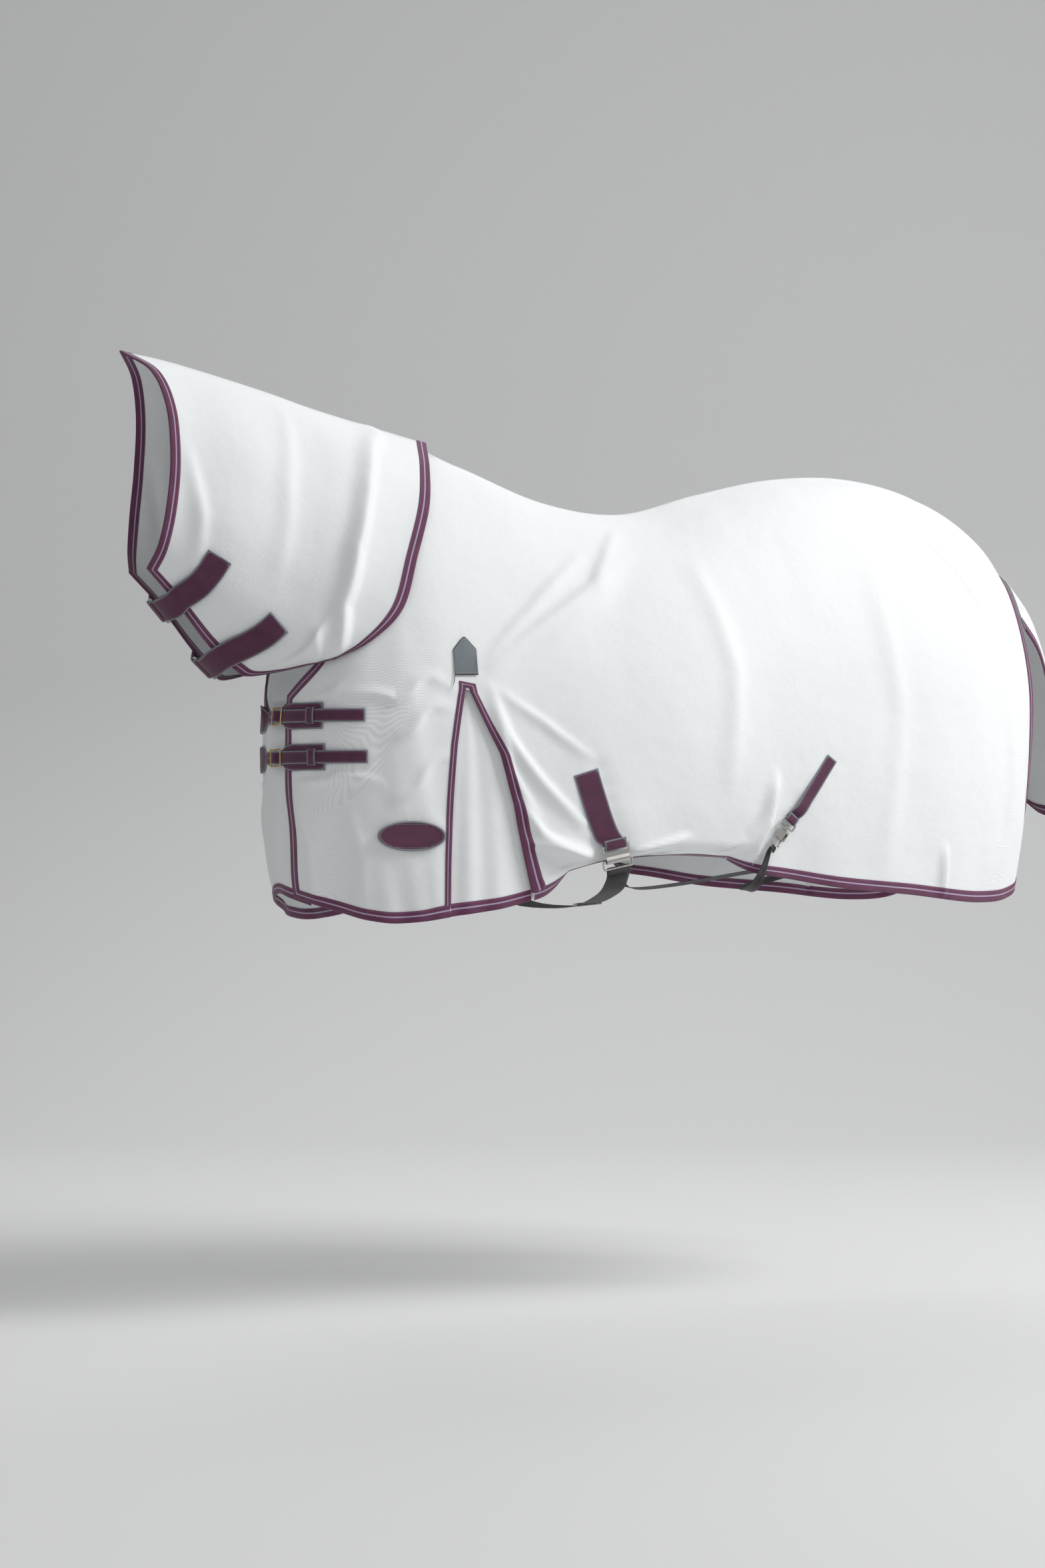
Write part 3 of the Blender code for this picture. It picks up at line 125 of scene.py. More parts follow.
def new_group(name, inputs, outputs):
    """A shader node group, and its two end nodes; an input with no value is a place."""
    tree = bpy.data.node_groups.new(name, "ShaderNodeTree")
    for socket, value in inputs:
        kind = "NodeSocketVector" if value is None else "NodeSocketFloat"
        made = tree.interface.new_socket(socket, in_out="INPUT", socket_type=kind)
        if value is not None:
            made.default_value = value
    for socket in outputs:
        tree.interface.new_socket(socket, in_out="OUTPUT", socket_type="NodeSocketFloat")
    return tree, tree.nodes.new("NodeGroupInput").outputs, tree.nodes.new("NodeGroupOutput").inputs


def group_in(tree, group, **values):
    """One use of a group, with its plain values."""
    node = tree.nodes.new("ShaderNodeGroup")
    node.node_tree = group
    for name, value in values.items():
        node.inputs[name].default_value = value
    return node


def maths(tree, operation, first, second=None, third=None):
    """A maths node on sockets or plain numbers, returning its result."""
    node = part_of(tree, "ShaderNodeMath", operation=operation)
    for k, value in enumerate((first, second, third)):
        if isinstance(value, bpy.types.NodeSocket):
            tree.links.new(value, node.inputs[k])
        elif value is not None:
            node.inputs[k].default_value = value
    return node.outputs[0]


def make_weave_group():
    """Crossing threads: Height is the relief, and Gap is 1 in the holes between threads."""
    tree, given, result = new_group(
        "woven threads", (("Place", None), ("Pitch", MESH_PITCH), ("Turn", 0.0)), ("Height", "Gap"))
    turned = part_of(tree, "ShaderNodeVectorRotate", rotation_type="Z_AXIS")
    tree.links.new(given["Place"], turned.inputs["Vector"])
    tree.links.new(given["Turn"], turned.inputs["Angle"])
    axes = part_of(tree, "ShaderNodeSeparateXYZ")
    tree.links.new(turned.outputs[0], axes.inputs[0])
    often = maths(tree, "DIVIDE", math.pi, given["Pitch"])
    waves = [maths(tree, "SINE", maths(tree, "MULTIPLY", axis, often)) for axis in axes.outputs[:2]]
    gap = maths(tree, "MULTIPLY", *[maths(tree, "ABSOLUTE", wave) for wave in waves])
    tree.links.new(maths(tree, "SUBTRACT", 1.0, gap), result["Height"])
    tree.links.new(maths(tree, "POWER", gap, 3.0), result["Gap"])
    return tree


def make_wear_group():
    """Soft uneven tone, from 0 to 1, as washed cloth and handled metal have."""
    tree, given, result = new_group("uneven tone", (("Place", None), ("Scale", 8.0)), ("Tone",))
    noise = part_of(tree, "ShaderNodeTexNoise")
    noise.inputs["Detail"].default_value = 4
    tree.links.new(given["Place"], noise.inputs["Vector"])
    tree.links.new(given["Scale"], noise.inputs["Scale"])
    tree.links.new(noise.outputs["Fac"], result["Tone"])
    return tree


def make_line_group():
    """A line of a given half width at a distance from an edge, as a soft mask."""
    tree, given, result = new_group(
        "line along the edge", (("Distance", 0.0), ("At", 0.01), ("Half", 0.001)), ("Mask",))
    away = maths(tree, "ABSOLUTE", maths(tree, "SUBTRACT", given["Distance"], given["At"]))
    step = part_of(tree, "ShaderNodeMapRange", interpolation_type="SMOOTHSTEP", _1=0.8, _2=1.2,
                   _3=1.0, _4=0.0)
    tree.links.new(maths(tree, "DIVIDE", away, given["Half"]), step.inputs[0])
    tree.links.new(step.outputs[0], result["Mask"])
    return tree


WEAVE = make_weave_group()
WEAR = make_wear_group()
LINE = make_line_group()


def make_stitch_group():
    """A row of sewn stitches along a line: Mask is 1 on the thread."""
    tree, given, result = new_group(
        "row of stitches", (("Distance", 0.0), ("Along", 0.0), ("At", 0.017)), ("Mask",))
    turn = maths(tree, "MULTIPLY", given["Along"], math.pi / STITCH_LENGTH)
    dash = maths(tree, "POWER", maths(tree, "ABSOLUTE", maths(tree, "SINE", turn)), 0.5)
    thread = maths(tree, "SUBTRACT", maths(tree, "MULTIPLY", dash, 1.5), 0.5)
    line = group_in(tree, LINE, Half=0.0005)
    tree.links.new(given["Distance"], line.inputs["Distance"])
    tree.links.new(given["At"], line.inputs["At"])
    both = maths(tree, "MULTIPLY", line.outputs["Mask"], maths(tree, "MAXIMUM", thread, 0.0))
    tree.links.new(both, result["Mask"])
    return tree


STITCH = make_stitch_group()


def mixed(tree, mask, first, second):
    """A colour between two, by a mask; each is a socket or a plain colour."""
    mix = part_of(tree, "ShaderNodeMix", data_type="RGBA")
    tree.links.new(mask, mix.inputs["Factor"])
    for name, value in (("A", first), ("B", second)):
        slot = [s for s in mix.inputs if s.name == name and s.type == "RGBA"][0]
        if isinstance(value, bpy.types.NodeSocket):
            tree.links.new(value, slot)
        else:
            slot.default_value = (*value, 1)
    return [s for s in mix.outputs if s.type == "RGBA"][0]


def bumped(tree, height, distance, under=None):
    """A surface raised by a height, on top of another raised surface if one is given."""
    bump = part_of(tree, "ShaderNodeBump")
    bump.inputs["Distance"].default_value = distance
    tree.links.new(height, bump.inputs["Height"])
    if under is not None:
        tree.links.new(under, bump.inputs["Normal"])
    return bump.outputs["Normal"]


def new_material(name):
    """A material, its node tree and the inputs of its shader."""
    made = bpy.data.materials.new(name)
    made.use_nodes = True
    return made, made.node_tree, made.node_tree.nodes["Principled BSDF"].inputs


def make_mesh_cloth(name, light, shade, crumple):
    """White mesh: light thread with a little bluish tone at random, painted bluish shade in the
    holes between threads, and crumples smaller than the folds.
    """
    made, tree, finish = new_material(name)
    link = tree.links.new
    flat_place = part_of(tree, "ShaderNodeUVMap", uv_map="flat").outputs[0]
    weave = group_in(tree, WEAVE, Pitch=MESH_PITCH, Turn=math.radians(45))
    link(flat_place, weave.inputs["Place"])
    tone = group_in(tree, WEAR, Scale=3.0)
    link(flat_place, tone.inputs["Place"])
    uneven = mixed(tree, tone.outputs["Tone"], light, shade)
    # Painted shade: the holes between the threads are coloured a darker bluish grey.
    colour = mixed(tree, weave.outputs["Gap"], uneven, tuple(c * 0.92 for c in shade))
    axes = part_of(tree, "ShaderNodeSeparateXYZ")
    link(flat_place, axes.inputs[0])
    seam = group_in(tree, STITCH, At=0.006)
    link(axes.outputs[1], seam.inputs["Distance"])
    link(axes.outputs[0], seam.inputs["Along"])
    colour = mixed(tree, seam.outputs["Mask"], colour, tuple(c * 0.62 for c in shade))
    link(colour, finish["Base Color"])
    creases = part_of(tree, "ShaderNodeTexNoise")
    creases.inputs["Scale"].default_value = 9
    creases.inputs["Detail"].default_value = 5
    link(part_of(tree, "ShaderNodeTexCoord").outputs["Object"], creases.inputs["Vector"])
    soft = bumped(tree, creases.outputs["Fac"], crumple)
    link(bumped(tree, weave.outputs["Height"], 0.0002, soft), finish["Normal"])
    finish["Roughness"].default_value = 0.72
    finish["Specular IOR Level"].default_value = 0.3
    finish["Sheen Weight"].default_value = 0.25
    finish["Sheen Roughness"].default_value = 0.4
    return made


white_mesh = make_mesh_cloth("white mesh", (0.86, 0.875, 0.88), (0.79, 0.81, 0.82), 0.004)


# --- Body of the sheet --------------------------------------------------------------------
# Two halves of mesh, left and right, joined along the spine. Each runs from the chest to the
# tail, and hangs from the spine to just below the belly. Shares of the drop run 0 to 1.

# The trunk that the sheet lies on: stations from the chest to the tail, each from the top
# edge down to the hem, as (forward, distance from the middle, height).
TRUNK = np.array([
    [(-.667, -.100, -.355), (-.671, -.100, -.420), (-.671, -.100, -.490), (-.668, -.100, -.560),
     (-.663, -.100, -.630), (-.657, -.100, -.700), (-.651, -.100, -.770)],
    [(-.690, .000, -.405), (-.696, .000, -.462), (-.696, .000, -.520), (-.693, .000, -.578),
     (-.688, .000, -.636), (-.683, .000, -.694), (-.677, .000, -.748)],
    [(-.670, .100, -.352), (-.674, .104, -.422), (-.674, .106, -.490), (-.671, .106, -.560),
     (-.666, .105, -.630), (-.659, .103, -.700), (-.652, .101, -.762)],
    [(-.622, .158, -.270), (-.626, .172, -.360), (-.624, .180, -.445), (-.619, .182, -.530),
     (-.611, .181, -.615), (-.602, .179, -.700), (-.590, .176, -.788)],
    [(-.565, .168, -.120), (-.570, .198, -.235), (-.568, .216, -.350), (-.563, .224, -.460),
     (-.556, .226, -.570), (-.546, .224, -.685), (-.532, .220, -.800)],
    [(-.505, .112, .022), (-.513, .175, -.100), (-.515, .218, -.235), (-.510, .241, -.375),
     (-.503, .248, -.515), (-.492, .247, -.655), (-.478, .244, -.797)],
    [(-.440, .000, .118), (-.448, .098, .030), (-.452, .178, -.100), (-.452, .232, -.260),
     (-.447, .256, -.430), (-.438, .262, -.605), (-.424, .262, -.788)],
    [(-.300, .000, .081), (-.300, .100, .015), (-.303, .190, -.115), (-.306, .252, -.275),
     (-.308, .278, -.445), (-.306, .281, -.610), (-.298, .276, -.767)],
    [(-.120, .000, .019), (-.120, .120, -.035), (-.121, .215, -.150), (-.122, .280, -.300),
     (-.122, .306, -.455), (-.118, .304, -.590), (-.106, .288, -.712)],
    [(.050, .000, .003), (.050, .130, -.040), (.050, .230, -.145), (.050, .295, -.290),
     (.050, .318, -.440), (.052, .311, -.575), (.055, .288, -.702)],
    [(.220, .000, .049), (.220, .128, .003), (.220, .224, -.110), (.220, .285, -.265),
     (.220, .306, -.430), (.220, .303, -.575), (.220, .284, -.712)],
    [(.390, .000, .088), (.390, .126, .042), (.390, .216, -.078), (.390, .274, -.240),
     (.390, .296, -.410), (.390, .300, -.575), (.390, .288, -.737)],
    [(.560, .000, .098), (.560, .122, .050), (.560, .210, -.075), (.562, .268, -.240),
     (.563, .287, -.415), (.563, .290, -.585), (.560, .280, -.752)],
    [(.720, .000, .069), (.722, .105, .022), (.728, .185, -.095), (.733, .238, -.255),
     (.736, .257, -.430), (.735, .260, -.600), (.728, .250, -.768)],
    [(.840, .000, .002), (.848, .080, -.040), (.858, .140, -.145), (.863, .184, -.290),
     (.860, .208, -.445), (.848, .221, -.605), (.826, .220, -.757)],
    [(.915, .000, -.075), (.928, .060, -.120), (.938, .104, -.215), (.934, .143, -.335),
     (.914, .168, -.460), (.889, .182, -.590), (.856, .188, -.712)],
])
SPINE_STATION = 6
TAIL_STATION = len(TRUNK) - 1
LEFT_EDGE, RIGHT_EDGE = 1.68, 0.05
UNDERLAP_DEPTH = 0.010
CLOTH = 0.0012
SIDES = (("left", -1), ("right", 1))
FRONT_COLUMNS, SLIT_COLUMNS, REAR_COLUMNS = 96, 9, 200
SLIT_TOP = 0.602
SLIT_DROPS = (0, 0.45, SLIT_TOP, 0.71, 0.80, 1)
SLIT_FRONT = (6.30, 6.33, 6.43, 6.26, 6.16, 5.95)
SLIT_REAR = (6.60, 6.57, 6.48, 6.84, 6.99, 7.19)

# Folds: height and width in metres, how much narrower the steep side is, and the line as
# (station, share of the drop). FOLD_GROWTH makes them all deeper together.
FOLD_GROWTH = 1.7
FOLD_STEPS = 96
BODY_FOLDS = (
    (0.0055, 0.017, 0.5, ((6.75, .558), (7.35, .458), (8.05, .342), (8.55, .175))),
    (0.0040, 0.013, 0.6, ((6.72, .540), (7.30, .425), (7.95, .275))),
    (0.0035, 0.022, 0.8, ((7.45, .475), (8.05, .375), (8.55, .242))),
    (0.0045, 0.012, 0.6, ((6.25, .608), (4.65, .475), (3.05, .222))),
    (0.0050, 0.014, 0.6, ((6.15, .642), (5.35, .608), (4.55, .558))),
    (0.0035, 0.012, 0.7, ((6.15, .725), (5.35, .725), (4.25, .692))),
    (0.0060, 0.014, 0.5, ((6.75, .592), (6.95, .675), (7.45, .792), (7.85, .892))),
    (0.0045, 0.011, 0.6, ((6.78, .625), (6.98, .742), (7.30, .842))),
    (0.0035, 0.012, 0.6, ((6.85, .592), (7.35, .642), (7.80, .708))),
    (0.0100, 0.015, 0.35, ((7.83, .950), (7.55, .915), (7.15, .880))),
    (0.0080, 0.013, 0.4, ((7.08, .800), (7.30, .865), (7.75, .942))),
    (0.0100, 0.014, 0.35, ((8.20, .955), (8.60, .935), (8.95, .915))),
    (0.0060, 0.010, 0.5, ((8.25, .985), (8.60, .975), (9.00, .965))),
    (0.0125, 0.016, 0.25, ((10.13, .780), (10.02, .880), (9.80, .985))),
    (0.0090, 0.018, 0.4, ((9.35, .975), (9.75, .915), (10.00, .860))),
    (0.0050, 0.013, 0.5, ((12.25, .208), (12.75, .308), (13.30, .408), (13.40, .485))),
    (0.0035, 0.011, 0.6, ((12.45, .225), (13.15, .325), (13.65, .385))),
    (0.0070, 0.010, 0.4, ((12.45, .900), (12.45, .992))),
    (0.0045, 0.013, 0.6, ((2.05, .455), (2.95, .485), (4.05, .625))),
    (0.0055, 0.018, 0.5, ((1.95, .520), (2.25, .725), (2.25, .950))),
    (0.0035, 0.012, 0.7, ((2.20, .110), (3.25, .208))),
    (0.0050, 0.012, 0.5, ((7.25, .975), (7.55, .958), (7.90, .975))),
    (0.0040, 0.020, 0.8, ((3.10, .620), (3.40, .800), (3.30, .985))),
    (0.0040, 0.024, 0.8, ((9.30, .300), (9.60, .550), (9.50, .800))),
    (0.0030, 0.026, 0.8, ((11.60, .350), (11.80, .650), (11.60, .950))),
    (0.0035, 0.020, 0.8, ((13.70, .500), (13.80, .750), (13.60, .970))),
)


def curve_weights(t, count):
    """For places t on a curve through count points: the first point used, and four weights."""
    first = np.clip(np.floor(t).astype(int), 0, count - 2)
    f = t - first
    return first, (0.5 * (2 * f * f - f ** 3 - f), 0.5 * (3 * f ** 3 - 5 * f * f + 2),
                   0.5 * (4 * f * f - 3 * f ** 3 + f), 0.5 * (f ** 3 - f * f))


def on_form(form, u, v):
    """Points of a form at stations u and shares v of the drop."""
    u, v = np.broadcast_arrays(np.asarray(u, float), np.asarray(v, float))
    rows = form.shape[1]
    wide = np.concatenate([2 * form[:1] - form[1:2], form, 2 * form[-1:] - form[-2:-1]])
    wide = np.concatenate([2 * wide[:, :1] - wide[:, 1:2], wide,
                           2 * wide[:, -1:] - wide[:, -2:-1]], axis=1)
    a, across = curve_weights(u, len(form))
    b, down = curve_weights(v * (rows - 1), rows)
    total = 0
    for i in range(4):
        for j in range(4):
            total = total + (across[i] * down[j])[..., None] * wide[a + i, b + j]
    return total


def outward(form, u, v, step=0.02):
    """Directions square to a form, away from the horse."""
    top = len(form) - 1
    along = (on_form(form, np.clip(u + step, 0, top), v)
             - on_form(form, np.clip(u - step, 0, top), v))
    down = on_form(form, u, np.clip(v + step, 0, 1)) - on_form(form, u, np.clip(v - step, 0, 1))
    normal = np.cross(along, down)
    return normal / np.maximum(np.linalg.norm(normal, axis=-1, keepdims=True), 1e-9)


def fold_height(form, folds, points):
    """How far the folds lift the cloth at these points."""
    flat_points = points.reshape(-1, 3)
    total = np.zeros(len(flat_points))
    for height, width, steep, line in folds:
        line = np.array(line)
        t = np.linspace(0, len(line) - 1, FOLD_STEPS)
        k = np.minimum(t.astype(int), len(line) - 2)
        places = line[k] + (line[k + 1] - line[k]) * (t - k)[:, None]
        ridge = on_form(form, places[:, 0], places[:, 1])
        near = np.abs(flat_points - ridge.mean(0)).max(1) < np.ptp(ridge, axis=0).max() + 4 * width
        if not near.any():
            continue
        gap = flat_points[near][:, None, :] - ridge[None]
        distance = np.linalg.norm(gap, axis=2)
        closest = distance.argmin(1)
        rows = np.arange(len(closest))
        ahead = np.gradient(ridge, axis=0)[closest]
        nearest = gap[rows, closest]
        beyond = ahead[:, 2] * nearest[:, 0] - ahead[:, 0] * nearest[:, 2]
        beyond /= np.linalg.norm(ahead, axis=1) * width * 0.4
        reach = width * (steep + (1 - steep) * (0.5 + 0.5 * np.tanh(beyond)))
        fade = np.sin(np.pi * np.clip(closest / (FOLD_STEPS - 1) * 0.94 + 0.03, 0, 1)) ** 0.6
        total[near] += FOLD_GROWTH * height * fade * np.exp(-(distance[rows, closest] / reach) ** 2)
    return total.reshape(points.shape[:-1])


def drape(u, v):
    """The slow waves of the body between its folds, deeper towards the hem."""
    deep = np.clip(v, 0, 1) ** 2
    return (0.0022 * deep * np.sin(u * 4.1 + 0.6 * np.sin(v * 5))
            + 0.0016 * np.sin(u * 1.9 + v * 7.0) * np.clip(v * 3, 0, 1)
            + 0.0010 * np.sin(u * 7.3 - v * 9.0) * deep)


fastened = [vertex.co for name in nodes
            if name.startswith(("chest", "badge", "gusset_patch", "surcingle_upper",
                                "surcingle_hook", "leg_strap_upper", "leg_snap_left",
                                "leg_swivel", "withers"))
            for vertex in nodes[name].data.vertices]
fastened_tree = KDTree(len(fastened))
for k, place in enumerate(fastened):
    fastened_tree.insert((place.x, abs(place.y), place.z), k)
fastened_tree.balance()


def free_cloth(points, reach=0.016):
    """1 on free cloth, falling to 0 under straps and sewn-on pieces."""
    gaps = [fastened_tree.find(point)[2] for point in points.reshape(-1, 3).tolist()]
    return (1 - np.exp(-(np.array(gaps) / reach) ** 2)).reshape(points.shape[:-1])


def rolled_under(u):
    """1 where the hem is drawn in under the belly, between the gusset and the leg strap."""
    return np.clip((u - 7.25) / 0.35, 0, 1) * np.clip((10.05 - u) / 0.45, 0, 1)


def closure_edge(v, side):
    """The station of the front edge; the left one wavers a little, as soft cloth does."""
    v = np.asarray(v)
    if side > 0:
        return np.full(v.shape, RIGHT_EDGE)
    return LEFT_EDGE + 0.05 * np.sin(v * 11 + 0.8) * np.clip((v - 0.3) * 4, 0, 1)


def slit_sides(v):
    """The stations of the slit's front and rear edges."""
    return np.interp(v, SLIT_DROPS, SLIT_FRONT), np.interp(v, SLIT_DROPS, SLIT_REAR)


def body_cloth(u, v, rise=0.0, side=-1):
    """Points on the outside of the draped body, in the row frame."""
    u, v = np.broadcast_arrays(np.asarray(u, float), np.asarray(v, float))
    points = on_form(TRUNK, u, v)
    normal = outward(TRUNK, u, v)
    on_spine = (v < 1e-6) & (u >= SPINE_STATION)
    normal[on_spine] = (0, 0, 1)
    points[..., 1] = np.where((u >= SPINE_STATION) & (v < 0.02),
                              np.maximum(points[..., 1], 0.0), points[..., 1])
    lift = (fold_height(TRUNK, BODY_FOLDS, points) + drape(u, v)) * free_cloth(points)
    if side > 0:
        lift = lift - UNDERLAP_DEPTH * np.clip((3.0 - u) / 0.8, 0, 1)
    points = points + normal * (lift + rise)[..., None]
    inward = np.clip((v - 0.93) / 0.07, 0, 1.1) * rolled_under(u)
    points[..., 1] -= 0.036 * inward ** 1.4
    points[..., 2] += 0.026 * inward ** 2
    points[..., 1] = np.where(on_spine, 0.0004, points[..., 1]) * side
    return points


def lengths_along(points, axis):
    """How far along each line of a grid its points are."""
    steps = np.linalg.norm(np.diff(points, axis=axis), axis=2)
    start = np.zeros_like(np.take(steps, [0], axis=axis))
    return np.concatenate([start, np.cumsum(steps, axis=axis)], axis=axis)


def make_mesh(name, points, faces, places, material, body):
    """A smooth surface riding on a body; places hold each point's position on the flat cloth."""
    mesh = bpy.data.meshes.new(name)
    mesh.from_pydata(points.reshape(-1, 3).tolist(), [], faces)
    used = np.zeros(len(mesh.loops), np.int32)
    mesh.loops.foreach_get("vertex_index", used)
    for layer_name, values in places.items():
        layer = mesh.uv_layers.new(name=layer_name)
        layer.data.foreach_set("uv", values.reshape(-1, 2)[used].astype(np.float32).ravel())
    mesh.polygons.foreach_set("use_smooth", np.ones(len(mesh.polygons), bool))
    mesh.materials.append(material)
    work = bmesh.new()
    work.from_mesh(mesh)
    loose = [vertex for vertex in work.verts if not vertex.link_faces]
    bmesh.ops.delete(work, geom=loose, context="VERTS")
    if "edge" in places:
        bmesh.ops.recalc_face_normals(work, faces=work.faces)
    work.to_mesh(mesh)
    work.free()
    made = bpy.data.objects.new(name, mesh)
    bpy.context.scene.collection.objects.link(made)
    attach(made, body)
    return made


def panel(name, points, body, material, left_out=None, thick=CLOTH):
    """A piece of cloth over a grid of points, cut along the grid and thick to the inside."""
    columns, rows = points.shape[:2]
    along = lengths_along(points, 0)
    flat = np.stack([along - along[columns // 2], lengths_along(points, 1)], axis=2)
    i, j = np.meshgrid(np.arange(columns - 1), np.arange(rows - 1), indexing="ij")
    corner = i * rows + j
    faces = np.stack([corner, corner + 1, corner + rows + 1, corner + rows], axis=2)
    if left_out is not None:
        faces = faces[~left_out]
    faces = faces.reshape(-1, 4)
    if signed_out(points) < 0:
        faces = faces[:, ::-1]
    made = make_mesh(name, points, faces.tolist(), {"flat": flat}, material, body)
    shell = made.modifiers.new("thickness", "SOLIDIFY")
    shell.thickness = thick
    shell.offset = -1
    return made


def in_place_of(made, node):
    """A piece in the place of this CAD solid, which is hidden."""
    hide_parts(node)


def signed_out(points):
    """Positive if a grid's columns crossed with its rows point away from the middle plane."""
    across = points[1:, :-1] - points[:-1, :-1]
    down = points[:-1, 1:] - points[:-1, :-1]
    normal = np.cross(down, across)
    middle = points[:-1, :-1] * (0, 1, 0) + (0, 0, 0.3)
    return float((normal * middle).sum())


def make_body(word, side):
    """Half of the body, with the slit at the shoulder left open."""
    drops = np.linspace(0, 1, 138)
    front, rear = slit_sides(drops)
    zones = []
    for start, end, count in ((closure_edge(drops, side), front, FRONT_COLUMNS),
                              (front, rear, SLIT_COLUMNS), (rear, TAIL_STATION, REAR_COLUMNS)):
        zones.append(start + (end - start) * np.linspace(0, 1, count)[:, None])
    stations = np.concatenate([zones[0], zones[1][1:], zones[2][1:]])
    left_out = np.zeros((len(stations) - 1, len(drops) - 1), bool)
    slit = slice(FRONT_COLUMNS - 1, FRONT_COLUMNS + SLIT_COLUMNS - 2)
    left_out[slit, drops[:-1] >= SLIT_TOP - 0.002] = True
    points = body_cloth(stations, drops, side=side)
    made = panel(f"body_cloth_{word}", points, "sheet", white_mesh, left_out)
    in_place_of(made, f"body_{word}")


for word, side in SIDES:
    make_body(word, side)


# --- Shoulder gussets ---------------------------------------------------------------------
# A wedge of the same mesh let in behind the slit at each shoulder. It spreads when the foreleg
# steps forward, and hangs in two or three soft upright folds while the horse stands.

GUSSET_DEPTH = 0.0085
GUSSET_LAP = 0.020


def station_step(form, u, v):
    """How far the cloth runs for one station, at these places."""
    top = len(form) - 1
    a, b = np.clip(u - 0.05, 0, top), np.clip(u + 0.05, 0, top)
    return np.linalg.norm(on_form(form, b, v) - on_form(form, a, v), axis=-1) / (b - a)


def gusset_cloth(u, v, rise=0.0, side=-1):
    """Points on the outside of a gusset, which lies under the edges of the slit."""
    u, v = np.broadcast_arrays(np.asarray(u, float), np.asarray(v, float))
    front, rear = slit_sides(v)
    share = np.clip((u - front) / (rear - front), 0, 1)
    deep = np.clip((v - SLIT_TOP) / (1 - SLIT_TOP), 0, 1)
    fold = 0.0032 * deep * np.sin(share * math.pi) * np.cos(share * 15 + 2.2 * v)
    return body_cloth(u, v, rise - GUSSET_DEPTH + fold, side)


for word, side in SIDES:
    drops = np.linspace(SLIT_TOP - 0.035, 1, 56)
    front, rear = slit_sides(drops)
    lap = GUSSET_LAP / station_step(TRUNK, front, drops)
    stations = (front - lap) + (rear - front + 2 * lap) * np.linspace(0, 1, 34)[:, None]
    gusset = panel(f"gusset_cloth_{word}", gusset_cloth(stations, drops, side=side), "sheet",
                   white_mesh)
    in_place_of(gusset, f"gusset_{word}")


# --- Edge tape ----------------------------------------------------------------------------
# Woven plum tape with a pale line along its middle, folded in half over every cut edge and
# sewn through both layers, 20 mm on each face.

TAPE_WIDTH = 0.020
TAPE_RISE = 0.0016
PLUM = (0.195, 0.036, 0.120)
DARK_PLUM = (0.085, 0.013, 0.050)
PALE_LINE = (0.50, 0.39, 0.56)
# Once round the tape: share of its width in from the edge, and height above the cloth.
TAPE_SECTION = np.array([
    (1.0, 0.0003), (0.985, TAPE_RISE * 0.8), (0.94, TAPE_RISE), (0.72, TAPE_RISE),
    (0.5, TAPE_RISE), (0.28, TAPE_RISE), (0.07, TAPE_RISE), (-0.03, TAPE_RISE * 0.5),
    (-0.07, -CLOTH / 2), (-0.03, -CLOTH - TAPE_RISE * 0.5), (0.07, -CLOTH - TAPE_RISE),
    (0.5, -CLOTH - TAPE_RISE), (0.94, -CLOTH - TAPE_RISE), (1.0, -CLOTH - 0.0003)])


def make_band(name, base, dark, line, line_at, line_half, stitch_at, thread, pitch, rough):
    """Woven band: ribs with painted shade in the gaps between them, one coloured line along the
    edge, a row of stitches and a little wear.
    """
    made, tree, finish = new_material(name)
    link = tree.links.new
    flat_place = part_of(tree, "ShaderNodeUVMap", uv_map="flat").outputs[0]
    edge_place = part_of(tree, "ShaderNodeUVMap", uv_map="edge").outputs[0]
    edges = part_of(tree, "ShaderNodeSeparateXYZ")
    link(edge_place, edges.inputs[0])
    along = part_of(tree, "ShaderNodeSeparateXYZ")
    link(flat_place, along.inputs[0])
    weave = group_in(tree, WEAVE, Pitch=pitch, Turn=0.0)
    link(flat_place, weave.inputs["Place"])
    tone = group_in(tree, WEAR, Scale=26.0)
    link(flat_place, tone.inputs["Place"])
    worn = mixed(tree, tone.outputs["Tone"], base, dark)
    # Painted shade: the gaps between the threads are darkened towards the dark colour.
    woven = mixed(tree, maths(tree, "MULTIPLY", weave.outputs["Gap"], 0.75), worn, dark)
    stripe = group_in(tree, LINE, At=line_at, Half=line_half)
    link(edges.outputs[0], stripe.inputs["Distance"])
    lined = mixed(tree, stripe.outputs["Mask"], woven, line)
    row = group_in(tree, STITCH, At=stitch_at)
    link(edges.outputs[0], row.inputs["Distance"])
    link(along.outputs[1], row.inputs["Along"])
    link(mixed(tree, row.outputs["Mask"], lined, thread), finish["Base Color"])
    sewn = maths(tree, "MULTIPLY", row.outputs["Mask"], 1.5)
    raised = maths(tree, "ADD", weave.outputs["Height"], sewn)
    link(bumped(tree, raised, 0.0004), finish["Normal"])
    rougher = maths(tree, "MULTIPLY_ADD", tone.outputs["Tone"], 0.2, rough)
    tree.links.new(rougher, finish["Roughness"])
    finish["Sheen Weight"].default_value = 0.2
    return made


plum_tape = make_band("plum tape", PLUM, DARK_PLUM, PALE_LINE, 0.0105, 0.0013, 0.0178,
                      (0.30, 0.10, 0.21), 0.0011, 0.55)


def make_strip(name, sections, across, along, edge, body, material, closed=False):
    """A strip through sections of points; across and along are real distances for the weave."""
    count, size = sections.shape[:2]
    spans = size if closed else size - 1
    i, m = np.meshgrid(np.arange(count - 1), np.arange(spans), indexing="ij")
    n = (m + 1) % size
    faces = np.stack([i * size + m, i * size + n, (i + 1) * size + n, (i + 1) * size + m], 2)
    faces = faces.reshape(-1, 4).tolist()
    if closed:
        faces += [list(range(size))[::-1], [(count - 1) * size + k for k in range(size)]]
    places = {"flat": np.stack([across, along], 2), "edge": edge}
    return make_mesh(name, sections, faces, places, material, body)


